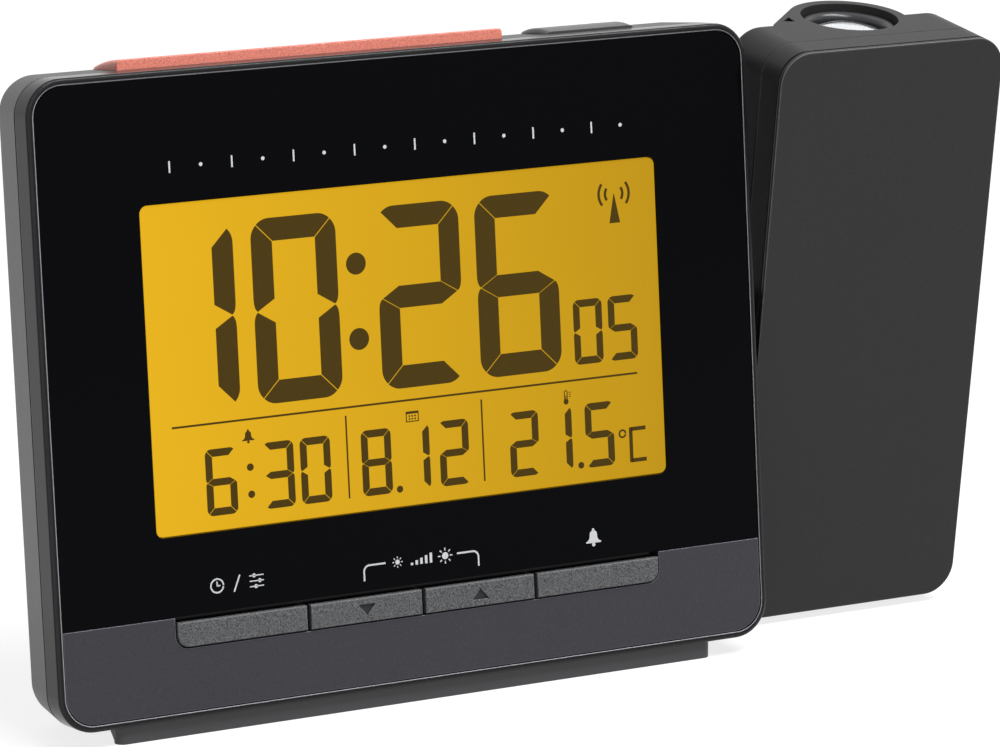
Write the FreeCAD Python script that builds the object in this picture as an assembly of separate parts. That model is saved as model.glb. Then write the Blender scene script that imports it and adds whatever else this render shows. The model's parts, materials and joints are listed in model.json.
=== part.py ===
"""Projection alarm clock: a leaning table clock with a swivelling projector arm at its right side.

Every piece of the case is drawn upright, from the centre of the case's front face, with X to the
right, Y to the back and Z up. Every piece of the arm is drawn upright round its swivel axis. Both
are then turned and moved to where they stand: the case leans back on its foot and the arm tilts
forward. The model's origin is the centre of the foot's underside. All sizes are millimetres.
"""
import FreeCAD, Part
import math
import os

V = FreeCAD.Vector
ACROSS = V(1, 0, 0)
BACK = V(0, 1, 0)
UP = V(0, 0, 1)

# Case
case_width = 119.0
case_height = 94.6
case_depth = 16.5
corner_radius = 5.5
wall = 2.0
frame_depth = 4.4            # front frame, from its front to the parting line
rim_width = 1.0              # rim that the window and the lower panel lie in
rim_rounding = 0.5
side_draft = 2.3             # how far each side comes in towards the back
top_draft = 0.3              # the same at the top and the bottom
back_rounding = 3.2
fit_gap = 0.15               # between fixed mouldings
slide_gap = 0.25             # round a button or a bar in its hole
stop_gap = 0.05              # between a catch and its stop
lean = 5.3                   # degrees, case leaning back
parting_edge = 0.16          # softened edges where two shells meet, seen as a fine line
beyond = 1.0                 # how far a cutting tool runs past the face that it cuts
bite = 0.5                   # how far a rib or post runs into the wall that it stands on

# Front deck behind the window
deck_front = 1.6
deck_thickness = 1.2
tongue_thickness = 1.0
tongue_inset = 0.5
tongue_length = 1.5

# Window, lower panel and their openings
panel_height = 15.2          # from the case's bottom to the window
panel_seam = 0.12
sheet_setback = 0.1          # window and panel behind the rim's front
lcd_width = 85.6
lcd_height = 48.4
lcd_centre_z = 3.85
lcd_corner = 1.2
lcd_setback = 0.2

# Front buttons
button_row_height = 12.5     # above the case's bottom
button_height = 3.7
button_row_width = 80.7
inner_button_width = 18.45
button_spacing = 0.6
button_corner = 1.75
button_proud = 0.25
button_cap = 1.15
button_travel = 0.5
button_edge = 0.15
stem_width = 8.0
stem_height = 1.8
catch_width = 10.6
catch_thickness = 0.7
arrow_width = 2.9
arrow_height = 1.7
arrow_depth = 0.35

# Liquid crystal display and its backlight
glass_ledge = 5.1            # contact ledge of the rear glass below the picture
glass_border = 1.9
glass_thickness = 1.1
guide_thickness = 2.4
film_thickness = 0.15
holder_wall = 0.8
holder_foot = 2.0            # holder below the display's contact ledge
zebra_width = 80.0
zebra_depth = 1.8
led_count = 3
led_width = 3.2
led_height = 1.8

# Circuit boards
board_front = 6.6
board_thickness = 1.2
board_width = 102.0
board_corner = 1.0
board_below_buttons = 2.6
switch_size = 4.5
switch_body = 1.7
plunger_radius = 1.0
plunger_length = 0.6
top_board_thickness = 1.2
top_board_left = -22.0
top_board_right = 46.0
top_board_front = 7.4
top_board_back = 13.6
shelf_thickness = 2.0
shelf_count = 3
shelf_board_gap = 0.4        # between the main board's top edge and the shelves

# Screws and their pillars
pillar_from_side = 7.5
pillar_from_top = 7.2
pillar_socket = 0.4          # how much wider the cover's pillars are
pillar_radius = 3.0
pillar_end = 9.0
screw_radius = 1.1
screw_head_radius = 2.5
screw_head = 1.8
screw_seat = 11.5
screw_hole_gap = 0.05
head_gap = 0.35
screw_tip = 2.0              # how far behind the deck a case screw ends
board_screw_tip = 1.0
board_post_x = 48.6
board_post_over_buttons = 1.4
board_post_high = 21.8
board_post_radius = 1.9
board_screw_radius = 0.8
board_screw_head_radius = 1.7
board_screw_head = 1.1

# Keys in the top of the case
key_front = 6.0
key_depth = 8.2
snooze_left = -42.5
snooze_right = 20.7
snooze_front_height = 1.5    # the bar stands up at its front and falls away to the back
snooze_back_height = 0.2
snooze_crown = 0.25
projection_key_left = 28.4
projection_key_right = 43.3
projection_front_height = 0.35
projection_back_height = 0.1
projection_crown = 0.5
key_end_rounding = 0.6
key_travel = 0.8
key_catch = 1.3
key_catch_thickness = 1.0
key_stem = 1.35              # below the catch
key_switch_gap = 0.1         # between a pressed key's stem and its switch
dot_spacing = 5.4
dot_radius = 0.5
dot_depth = 0.3

# Raised back of the case and the battery bay
zone_width = 76.0
zone_low = -32.2
zone_high = 25.8
zone_depth = 24.5
zone_corner = 5.0
zone_rounding = 2.4
zone_wall = 1.5
cell_radius = 5.25
cell_length = 44.5
nub_radius = 1.9
nub_length = 0.8
cell_rounding = 0.6
cell_spacing = 11.2
cell_gap = 0.35
bay_centre_z = -2.2
bay_wall = 1.2
contact_thickness = 0.4
contact_width = 8.0
leaf_radius = 2.9
end_gap = 0.05
door_thickness = 1.4
door_overlap = 2.6
door_gap = 0.3
door_grip_width = 12.0
grip_count = 3
grip_pitch = 1.7
grip_height = 0.3
scoop_radius = 4.0
scoop_depth = 1.1

# Things on the main board and at the back
chip_radius = 6.0
chip_height = 1.2
chip_rounding = 0.7
chip_gap = 0.6               # between the chip and the battery bay
crystal_radius = 1.0
crystal_length = 6.0
capacitor_radius = 2.5
capacitor_height = 5.0
buzzer_x = -18.0
buzzer_z = 17.8
buzzer_radius = 6.0
buzzer_height = 8.0
buzzer_mouth_radius = 1.0
sound_slots = 5
sound_slot_pitch = 2.4
slot_width = 1.1
slot_height = 7.8
slot_rounding = 0.54
inlet_x = 45.0
inlet_z = -20.2
inlet_size = 9.0
inlet_nose_radius = 4.0
inlet_bore_radius = 2.8
inlet_bore_depth = 7.0
inlet_pin_radius = 1.0
sensor_x = -46.0
sensor_z = -20.2
sensor_radius = 1.3
sensor_lead_radius = 0.3
vent_count = 4
receiver_width = 15.0
receiver_x = -36.0
receiver_z = -26.2
receiver_height = 5.6
receiver_thickness = 1.0
rod_radius = 3.0
rod_length = 60.0
rod_y = 10.0
rod_height = 6.2             # above the case's bottom
coil_radius = 3.7
coil_length = 24.0
clip_width = 3.0
clip_wall = 0.8
clip_x = 22.0

# Swivel between the case and the arm
pivot_y = 10.19
pivot_z = -1.01
arm_gap = 2.07
hub_radius = 4.0
hub_bore_radius = 2.6
running_gap = 0.06
boss_radius = 5.8
boss_length = 4.05
hub_reach = 5.6              # hub past the case's side, into the case
hub_flange_radius = 6.2
hub_key_width = 9.2
hub_key_thickness = 1.2
washer_thickness = 0.55
clip_thickness = 0.7
clip_groove = 0.6
clip_reach = 1.0
clip_mouth = 6.0
ribbon_width = 3.6
ribbon_thickness = 0.8
connector_size = 5.0

# Arm
arm_width = 40.2
arm_height = 92.2
arm_corner = 5.0
arm_tilt = 12.9              # degrees forward of the case, as it stands in use
face_to_pivot = 7.6
face_plate = 0.7
face_plate_edge = 0.2
shadow_gap = 0.5
shadow_inset = 0.6
arm_front_depth = 5.87
arm_depth = 15.7
arm_wall = 1.6
arm_back_rounding = 0.8
arm_screw_x = 5.7
arm_screw_z = 7.5
arm_post_radius = 2.4
arm_screw_seat = 3.5
arm_screw_radius = 0.9
arm_screw_head_radius = 1.9
arm_screw_head = 1.3
arm_screw_tip = 0.4
arm_socket = 0.2             # how much wider the rear shell's posts and wells are

# Lens, focus and the projector's optics
lens_axis_x = 22.0           # from the arm's left side
lens_axis_y = 8.8
bulge_radius = 9.4
bulge_length = 60.0
bulge_end_rounding = 5.0
web_reach = 14.3
slit_depth = 3.0
slit_left = 11.8             # the slit's corners, left of the lens axis
slit_right = 10.0
slit_tip = 9.7
slit_front = 0.5             # and behind the arm's back
slit_slant = 0.75
slit_back = 3.05
mouth_radius = 7.7
mouth_depth = 2.6
collar_length = 7.0
tube_bore_radius = 8.0
barrel_radius = 7.0
barrel_top = 1.05            # below the arm's top
barrel_length = 17.5
barrel_lip = 1.15            # rounding of the barrel's inner edge above the lens
lens_radius = 5.6
lens_rim = 1.8
lens_rim_top = 2.3           # below the arm's top
lens_dome = 1.2
lens_seat_gap = 0.05
barrel_bore_radius = 5.0
wheel_radius = 11.6
wheel_height = 5.2
wheel_drop = 11.0            # wheel's upper face below the arm's top
wheel_slot_gap = 0.35
wheel_groove_count = 30
wheel_groove_width = 0.9
optics_top = 20.2            # top of the optics tube below the arm's top
optics_length = 37.5
optics_bore_radius = 6.6
shelf_ring = 1.2
ring_bite = 0.3
picture_size = 8.8
picture_thickness = 1.4
picture_drop = 12.0
condenser_drop = 25.0
condenser_radius = 6.4
condenser_rim = 1.0
condenser_dome = 3.0
led_board_drop = 34.0
led_board_radius = 6.4
led_board_thickness = 1.2
led_radius = 2.5
led_length = 4.0
led_rounding = 1.75
driver_width = 22.0
driver_height = 22.0
driver_z = -30.0
driver_y = 1.0
driver_post_radius = 1.8

# Foot
foot_width = 100.0
foot_depth = 46.0
foot_front_height = 2.7
foot_setback = 1.2
foot_lip = 1.5
foot_lip_corner = 1.3
foot_gusset = 2.6
foot_plate_width = 84.0
foot_plate_thickness = 2.2
foot_corner = 10.0
foot_step = 3.9
foot_rear_edge = 1.0
pad_radius = 4.0
pad_thickness = 0.8
pad_x = 23.0
pad_y = 15.0
foot_screw_x = 34.0
foot_screw_y = 9.0
foot_screw_head = 0.9
foot_screw_head_radius = 2.3
foot_screw_depth = 6.5
foot_screw_sunk = 1.0        # head below the case's bottom
foot_well_gap = 0.2
foot_well_depth = 3.0
foot_boss_radius = 3.0
foot_boss_height = 5.5

# Places worked out from the sizes above
side = case_width / 2
top = case_height / 2
inner_back = case_depth - wall
deck_back = deck_front + deck_thickness
tongue_end = frame_depth + tongue_length
sheet_front = sheet_setback
window_bottom = -top + panel_height
button_row_z = -top + button_row_height
pillar_x = side - pillar_from_side
pillar_z = top - pillar_from_top
board_bottom = button_row_z - board_below_buttons
board_post_low = button_row_z + board_post_over_buttons
rod_z = -top + rod_height
lcd_low = lcd_centre_z - lcd_height / 2
lcd_high = lcd_centre_z + lcd_height / 2
glass_low = lcd_low - glass_ledge
glass_high = lcd_high + glass_border
glass_half = lcd_width / 2 + glass_border
board_back = board_front + board_thickness
guide_low = lcd_low - glass_border - 2 * fit_gap
guide_half = glass_half + fit_gap
guide_front = deck_back
guide_back = guide_front + guide_thickness
key_back = key_front + key_depth
key_catch_high = top - wall - top_draft - stop_gap
key_stem_low = key_catch_high - key_catch_thickness - key_stem
top_board_top = key_stem_low - key_switch_gap - key_travel - plunger_length - switch_body
top_board_z = top_board_top - top_board_thickness
board_top = top_board_z - shelf_thickness - shelf_board_gap
bay_low = bay_centre_z - cell_spacing / 2 - cell_radius - cell_gap
bay_high = bay_centre_z + cell_spacing / 2 + cell_radius + cell_gap
bay_half = (cell_length + 2 * contact_thickness + leaf_radius) / 2 + end_gap
door_front = zone_depth - door_thickness
bay_front = door_front - cell_gap / 2 - 2 * cell_radius - cell_gap
cell_y = bay_front + cell_radius + cell_gap / 2
door_half = bay_half + door_overlap + bay_wall
door_low = bay_low - door_overlap - bay_wall
door_high = bay_high + door_overlap + bay_wall
chip_z = bay_low - bay_wall - chip_gap - chip_radius
arm_left = side + arm_gap
arm_right = arm_left + arm_width
arm_centre_x = (arm_left + arm_right) / 2
arm_top = arm_height / 2
arm_front = -face_to_pivot
arm_parting = arm_front + arm_front_depth
arm_back = arm_front + arm_depth
cover_front = arm_front + face_plate + shadow_gap
cover_inside = cover_front + arm_wall
shell_inside = arm_back - arm_wall
lens_x = arm_left + lens_axis_x
boss_inner_end = side - boss_length
wheel_top = arm_top - wheel_drop
wheel_bottom = wheel_top - wheel_height
tube_top = arm_top - optics_top


def box(x0, x1, y0, y1, z0, z1):
    """A block between two corners."""
    return Part.makeBox(x1 - x0, y1 - y0, z1 - z0, V(x0, y0, z0))


def rod(x, y, z, radius, length, axis=BACK):
    """A cylinder from a point along an axis."""
    return Part.makeCylinder(radius, length, V(x, y, z), axis)


def tube(x, y, z, outer, inner, length, axis=BACK):
    """A cylinder with a bore right through it."""
    return rod(x, y, z, outer, length, axis).cut(rod(x, y, z, inner, length, axis))


def outline(x0, x1, z0, z1, y, radii):
    """An upright rectangle with a radius of its own at each corner, from the lower left."""
    corners = [V(x0, y, z0), V(x1, y, z0), V(x1, y, z1), V(x0, y, z1)]
    into = [V(1, 0, 1), V(-1, 0, 1), V(-1, 0, -1), V(1, 0, -1)]
    along = [V(0, 0, -1), V(1, 0, 0), V(0, 0, 1), V(-1, 0, 0)]
    edges = []
    last = None
    first = None
    for corner, inward, arrive, leave, radius in zip(
            corners, into, along, along[1:] + along[:1], radii):
        start = corner - arrive * radius
        end = corner + leave * radius
        if last is not None and last.distanceToPoint(start) > 1e-7:
            edges.append(Part.makeLine(last, start))
        if radius:
            centre = corner + inward * radius
            middle = centre - inward * (radius / math.sqrt(2))
            edges.append(Part.Arc(start, middle, end).toShape())
        if first is None:
            first = start
        last = end
    edges.append(Part.makeLine(last, first))
    return Part.Wire(edges)


def plate(x0, x1, z0, z1, y0, y1, radii=(0, 0, 0, 0)):
    """An upright plate with rounded corners, from y0 back to y1."""
    return Part.Face(outline(x0, x1, z0, z1, y0, radii)).extrude(V(0, y1 - y0, 0))


def centred_plate(width, height, radius, y0, y1):
    """A plate about the middle of the case, alike at its four corners."""
    half, rise = width / 2, height / 2
    return plate(-half, half, -rise, rise, y0, y1, (radius,) * 4)


def profile_along_x(points, x0, x1):
    """A closed outline of (y, z) points, carried from x0 to x1."""
    loop = [V(x0, y, z) for y, z in points]
    return Part.Face(Part.makePolygon(loop + loop[:1])).extrude(V(x1 - x0, 0, 0))


def lying_edges(shape, y):
    """The edges of a shape that lie wholly in one upright plane."""
    return [e for e in shape.Edges if abs(e.BoundBox.YMin - y) < 1e-6 and abs(e.BoundBox.YMax - y) < 1e-6]


def level_edges(shape, z):
    """The edges of a shape that lie wholly at one height."""
    return [e for e in shape.Edges if abs(e.BoundBox.ZMin - z) < 1e-6 and abs(e.BoundBox.ZMax - z) < 1e-6]


def join(shapes):
    """One solid from shapes that meet."""
    return shapes[0].multiFuse(shapes[1:]).removeSplitter()


def cut_all(shape, tools):
    """A shape less all the tools."""
    return shape.cut(Part.makeCompound(tools))


def group(shapes):
    """Separate solids that share one node."""
    return Part.makeCompound(shapes)


def mirror_pairs(x, *levels):
    """The points left and right of the middle at each level."""
    return [(side_x, level) for level in levels for side_x in (-x, x)]


# Front buttons in their row, from the left: name, left edge, right edge
def button_row():
    """Name and edges of each front button."""
    half = button_row_width / 2
    inner = inner_button_width + button_spacing / 2
    return [
        ("mode_set_button", -half, -inner - button_spacing),
        ("down_button", -inner, -button_spacing / 2),
        ("up_button", button_spacing / 2, inner),
        ("alarm_button", inner + button_spacing, half),
    ]


def button_centres():
    """The middle of each front button."""
    return [(left + right) / 2 for _, left, right in button_row()]


def front_frame():
    """The front moulding: thin rim, deck behind the window, screw pillars and the joint's tongue."""
    body = centred_plate(case_width, case_height, corner_radius, 0, frame_depth)
    body = body.makeFillet(rim_rounding, lying_edges(body, 0))
    body = body.makeChamfer(parting_edge, lying_edges(body, frame_depth))
    tongue_edge = 2 * (wall + tongue_inset)
    tongue_inner = tongue_edge + 2 * tongue_thickness
    tongue = centred_plate(case_width - tongue_edge, case_height - tongue_edge,
                           corner_radius - wall, frame_depth - stop_gap, tongue_end)
    pocket = centred_plate(case_width - 2 * rim_width, case_height - 2 * rim_width,
                           corner_radius - rim_width, -beyond, deck_front)
    hollow = centred_plate(case_width - tongue_inner, case_height - tongue_inner,
                           corner_radius - wall - tongue_thickness, deck_back, tongue_end + beyond)
    display = plate(-glass_half - fit_gap, glass_half + fit_gap, glass_low - fit_gap,
                    glass_high + fit_gap, deck_front - beyond, deck_back + beyond)
    hub_room = box(0, side, frame_depth, tongue_end + beyond,
                   pivot_z - boss_radius - beyond, pivot_z + boss_radius + beyond)
    body = cut_all(join([body, tongue]), [pocket, hollow, display, hub_room])
    pillars = [rod(x, deck_back - stop_gap, z, pillar_radius, pillar_end - deck_back + stop_gap)
               for x, z in mirror_pairs(pillar_x, pillar_z, -pillar_z)]
    posts = [rod(x, deck_back - stop_gap, z, board_post_radius, board_front - deck_back + stop_gap)
             for x, z in mirror_pairs(board_post_x, board_post_low, board_post_high)]
    slots = [box(x - stem_width / 2 - slide_gap, x + stem_width / 2 + slide_gap, 0, frame_depth,
                 button_row_z - stem_height / 2 - slide_gap, button_row_z + stem_height / 2 + slide_gap)
             for x in button_centres()]
    pilots = [rod(x, deck_back + stop_gap, z, screw_radius + screw_hole_gap, pillar_end)
              for x, z in mirror_pairs(pillar_x, pillar_z, -pillar_z)]
    pilots += [rod(x, deck_back, z, board_screw_radius + screw_hole_gap, board_front)
               for x, z in mirror_pairs(board_post_x, board_post_low, board_post_high)]
    return cut_all(join([body] + pillars + posts), slots + pilots)


def display_window():
    """Glossy black window with the opening that the display's front glass fills."""
    edge = side - rim_width - fit_gap
    high = top - rim_width - fit_gap
    corner = corner_radius - rim_width
    sheet = plate(-edge, edge, window_bottom, high, sheet_front, deck_front, (0, 0, corner, corner))
    half = lcd_width / 2
    opening = plate(-half, half, lcd_low, lcd_high, -beyond, frame_depth, (lcd_corner,) * 4)
    return sheet.cut(opening)


def lower_front_panel():
    """Satin strip under the window, with a U-shaped opening for the four buttons."""
    edge = side - rim_width - fit_gap
    low = -top + rim_width + fit_gap
    high = window_bottom - panel_seam
    corner = corner_radius - rim_width
    sheet = plate(-edge, edge, low, high, sheet_front, deck_front, (corner, corner, 0, 0))
    half = button_row_width / 2 + slide_gap
    opening_low = button_row_z - button_height / 2 - slide_gap
    radius = button_corner + slide_gap
    opening = plate(-half, half, opening_low, high + beyond, -beyond, frame_depth, (radius, radius, 0, 0))
    return sheet.cut(opening)


def arrow(x, points_up):
    """A triangular recess in a button's face."""
    direction = 1 if points_up else -1
    base = button_row_z - direction * arrow_height / 2
    tip = button_row_z + direction * arrow_height / 2
    corners = [V(x - arrow_width / 2, -button_proud, base), V(x + arrow_width / 2, -button_proud, base),
               V(x, -button_proud, tip)]
    triangle = Part.Face(Part.makePolygon(corners + corners[:1]))
    return triangle.extrude(V(0, arrow_depth, 0))


def front_button(name, left, right):
    """Cap with a softened edge, stem through the deck and a catch behind it, all one moulding."""
    low = button_row_z - button_height / 2
    high = button_row_z + button_height / 2
    low_left = button_corner if name == "mode_set_button" else 0
    low_right = button_corner if name == "alarm_button" else 0
    cap = plate(left, right, low, high, -button_proud, button_cap - button_proud,
                (low_left, low_right, 0, 0))
    cap = cap.makeChamfer(button_edge, lying_edges(cap, -button_proud))
    x = (left + right) / 2
    catch_front = deck_back + stop_gap
    stem = box(x - stem_width / 2, x + stem_width / 2, button_cap - button_proud - stop_gap,
               catch_front + stop_gap, button_row_z - stem_height / 2, button_row_z + stem_height / 2)
    catch = box(x - catch_width / 2, x + catch_width / 2, catch_front, catch_front + catch_thickness,
                button_row_z - stem_height / 2, button_row_z + stem_height / 2)
    button = join([cap, stem, catch])
    if name in ("up_button", "down_button"):
        button = button.cut(arrow(x, name == "up_button"))
    return button


def lcd_cell():
    """Display cell: front glass in the window's opening, longer rear glass with a contact ledge."""
    half = lcd_width / 2 - fit_gap
    front = plate(-half, half, lcd_low + fit_gap, lcd_high - fit_gap, sheet_front + lcd_setback,
                  deck_front + stop_gap, (lcd_corner - fit_gap,) * 4)
    rear = plate(-glass_half, glass_half, glass_low, glass_high, deck_front, deck_front + glass_thickness)
    return join([front, rear])


def light_guide():
    """Clear plate that spreads the amber light behind the display."""
    return plate(-guide_half, guide_half, guide_low, glass_high, guide_front, guide_back)


def reflector_film():
    """White film on the back of the light guide."""
    return plate(-guide_half, guide_half, guide_low, glass_high, guide_back, guide_back + film_thickness)


def backlight_leds():
    """Amber lamps on the board, above the light guide's upper edge."""
    step = 2 * guide_half / led_count
    low = glass_high + fit_gap
    return group([box(-guide_half + step * (i + 0.5) - led_width / 2,
                      -guide_half + step * (i + 0.5) + led_width / 2,
                      guide_back - led_height, board_front, low, low + led_height)
                  for i in range(led_count)])


def display_holder():
    """Frame between the deck and the board that holds the guide and the contact strip."""
    half = guide_half + fit_gap + holder_wall
    room_high = glass_high + 2 * fit_gap + led_height
    body = plate(-half, half, glass_low - holder_foot, room_high + holder_wall, deck_back, board_front)
    room = box(-guide_half - fit_gap, guide_half + fit_gap, 0, case_depth,
               guide_low - fit_gap, room_high)
    strip_half = zebra_width / 2 + fit_gap
    strip_room = box(-strip_half, strip_half, 0, case_depth, glass_low, glass_low + zebra_depth + 2 * fit_gap)
    return cut_all(body, [room, strip_room])


def zebra_strip():
    """Elastic contact strip between the display's ledge and the board."""
    low = glass_low + fit_gap
    return box(-zebra_width / 2, zebra_width / 2, deck_front + glass_thickness, board_front,
               low, low + zebra_depth)


def main_board():
    """The main circuit board, with clearance holes for its screws."""
    body = plate(-board_width / 2, board_width / 2, board_bottom, board_top, board_front, board_back,
                 (board_corner,) * 4)
    return cut_all(body, [rod(x, 0, z, board_screw_radius + screw_hole_gap, case_depth)
                          for x, z in mirror_pairs(board_post_x, board_post_low, board_post_high)])


def button_switches():
    """Four small push switches on the board, one behind each front button's catch."""
    half = switch_size / 2
    catch_back = deck_back + stop_gap + catch_thickness
    plunger_front = catch_back + button_travel + stop_gap
    body_front = board_front - switch_body
    switches = []
    for x in button_centres():
        body = box(x - half, x + half, body_front, board_front, button_row_z - half, button_row_z + half)
        plunger = rod(x, plunger_front, button_row_z, plunger_radius, body_front - plunger_front + stop_gap)
        switches.append(join([body, plunger]))
    return group(switches)


def board_screws():
    """Four screws that hold the board on the deck's posts."""
    screws = []
    for x, z in mirror_pairs(board_post_x, board_post_low, board_post_high):
        start = deck_back + board_screw_tip
        shank = rod(x, start, z, board_screw_radius, board_back - start + stop_gap)
        head = rod(x, board_back, z, board_screw_head_radius, board_screw_head)
        screws.append(join([shank, head]))
    return group(screws)


def clock_chip():
    """Bonded chip under a flat drop of resin."""
    drop = rod(0, board_back, chip_z, chip_radius, chip_height)
    return drop.makeFillet(chip_rounding, lying_edges(drop, board_back + chip_height))


def quartz_crystal():
    """Timing crystal in its can, lying on the board."""
    return rod(chip_radius * 2, board_back + crystal_radius, chip_z - crystal_length / 2,
               crystal_radius, crystal_length, UP)


def capacitors():
    """Two round capacitors beside the battery bay."""
    x = -bay_half - bay_wall - 2 * capacitor_radius
    return group([rod(x, board_back, z, capacitor_radius, capacitor_height)
                  for z in (0, 3 * capacitor_radius)])


def buzzer():
    """Round alarm buzzer with a sound hole towards the slots in the back."""
    body = rod(buzzer_x, board_back, buzzer_z, buzzer_radius, buzzer_height)
    mouth = rod(buzzer_x, board_back + buzzer_height / 2, buzzer_z, buzzer_mouth_radius, buzzer_height)
    return body.cut(mouth)


def receiver_board():
    """Small radio receiver board standing on the main board."""
    return box(receiver_x - receiver_width / 2, receiver_x + receiver_width / 2,
               board_back, board_back + receiver_height, receiver_z, receiver_z + receiver_thickness)


def temperature_sensor():
    """Sensor bead on two leads, behind the vents."""
    bead_y = inner_back - 2 * sensor_radius
    bead = Part.makeSphere(sensor_radius, V(sensor_x, bead_y, sensor_z))
    leads = [rod(sensor_x + shift, board_back, sensor_z, sensor_lead_radius, bead_y - board_back)
             for shift in (-sensor_radius / 2, sensor_radius / 2)]
    return join([bead] + leads)


def ferrite_rod():
    """Ferrite core of the time signal aerial."""
    return rod(-rod_length / 2, rod_y, rod_z, rod_radius, rod_length, ACROSS)


def aerial_coil():
    """Winding on the core, as the sleeve that it fills."""
    return tube(-coil_length / 2, rod_y, rod_z, coil_radius, rod_radius, coil_length, ACROSS)


def aerial_clips():
    """Two saddles on the back cover that carry the core."""
    clips = []
    for x in (-clip_x, clip_x):
        block = box(x - clip_width / 2, x + clip_width / 2, rod_y, inner_back - fit_gap,
                    rod_z - rod_radius - clip_wall, rod_z + rod_radius + clip_wall)
        seat = rod(-side, rod_y, rod_z, rod_radius, case_width, ACROSS)
        clips.append(block.cut(seat))
    return group(clips)


def power_inlet():
    """Round inlet for a mains adaptor's plug, with its centre pin, on the board."""
    half = inlet_size / 2
    body = box(inlet_x - half, inlet_x + half, board_back, inner_back - fit_gap,
               inlet_z - half, inlet_z + half)
    nose = rod(inlet_x, inner_back - beyond, inlet_z, inlet_nose_radius, case_depth - inner_back + beyond)
    bore_start = case_depth - inlet_bore_depth
    bore = rod(inlet_x, bore_start, inlet_z, inlet_bore_radius, inlet_bore_depth + beyond)
    pin = rod(inlet_x, bore_start - beyond, inlet_z, inlet_pin_radius, inlet_bore_depth)
    return join([join([body, nose]).cut(bore), pin])


def top_switch_board():
    """Narrow board under the two keys in the top of the case."""
    return box(top_board_left, top_board_right, top_board_front, top_board_back, top_board_z, top_board_top)


def top_key_centres():
    """The middle of the snooze bar and of the projection key."""
    return [(snooze_left + snooze_right) / 2, (projection_key_left + projection_key_right) / 2]


def top_switches():
    """Push switches under the two top keys."""
    half = switch_size / 2
    y = (key_front + key_back) / 2
    switches = []
    for x in top_key_centres():
        body = box(x - half, x + half, y - half, y + half, top_board_top, top_board_top + switch_body)
        plunger = rod(x, y, top_board_top + switch_body - stop_gap, plunger_radius,
                      plunger_length + stop_gap, UP)
        switches.append(join([body, plunger]))
    return group(switches)


def top_key(left, right, front_height, back_height, crown):
    """A crowned key that stands out of the top and falls to the back, with catches and a stem inside."""
    root = key_catch_high - stop_gap
    middle = (key_front + key_back) / 2
    front = V(left, key_front, top + front_height)
    back = V(left, key_back, top + back_height)
    peak = V(left, middle, top + (front_height + back_height) / 2 + crown)
    low_front = V(left, key_front, root)
    low_back = V(left, key_back, root)
    rim = Part.Wire([Part.makeLine(low_front, front), Part.Arc(front, peak, back).toShape(),
                     Part.makeLine(back, low_back), Part.makeLine(low_back, low_front)])
    body = Part.Face(rim).extrude(V(right - left, 0, 0))
    ends = [e for e in body.Edges
            if e.BoundBox.ZMin > top and e.BoundBox.XLength < 1e-6]
    body = body.makeFillet(key_end_rounding, ends)
    catch = box(left - key_catch, right + key_catch, key_front, key_back,
                key_catch_high - key_catch_thickness, key_catch_high)
    stem = rod((left + right) / 2, middle, key_stem_low, 2 * plunger_radius, key_stem + stop_gap, UP)
    return join([body, catch, stem])


def snooze_bar():
    """Long red key in the top of the case."""
    return top_key(snooze_left, snooze_right, snooze_front_height, snooze_back_height, snooze_crown)


def projection_button():
    """Short key in the top of the case, with two dots to feel for."""
    key = top_key(projection_key_left, projection_key_right, projection_front_height,
                  projection_back_height, projection_crown)
    x = (projection_key_left + projection_key_right) / 2
    y = (key_front + key_back) / 2
    peak = top + (projection_front_height + projection_back_height) / 2 + projection_crown
    dots = [rod(x + shift, y, peak - dot_depth, dot_radius, dot_depth + beyond, UP)
            for shift in (-dot_spacing / 2, dot_spacing / 2)]
    return cut_all(key, dots)


def drafted_body(width, height, radius, y0, y1, draft_side, draft_top):
    """A block whose outline narrows evenly towards the back."""
    half, rise = width / 2, height / 2
    front = outline(-half, half, -rise, rise, y0, (radius,) * 4)
    back = outline(-half + draft_side, half - draft_side, -rise + draft_top, rise - draft_top, y1,
                   (radius,) * 4)
    return Part.makeLoft([front, back], True, True)


def upright_slots(x, z, count, depth_from, depth_to):
    """A row of narrow upright slots about a point."""
    slots = []
    for i in range(count):
        slot_x = x + (i - (count - 1) / 2) * sound_slot_pitch
        slots.append(plate(slot_x - slot_width / 2, slot_x + slot_width / 2, z - slot_height / 2,
                           z + slot_height / 2, depth_from, depth_to, (slot_rounding,) * 4))
    return slots


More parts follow.
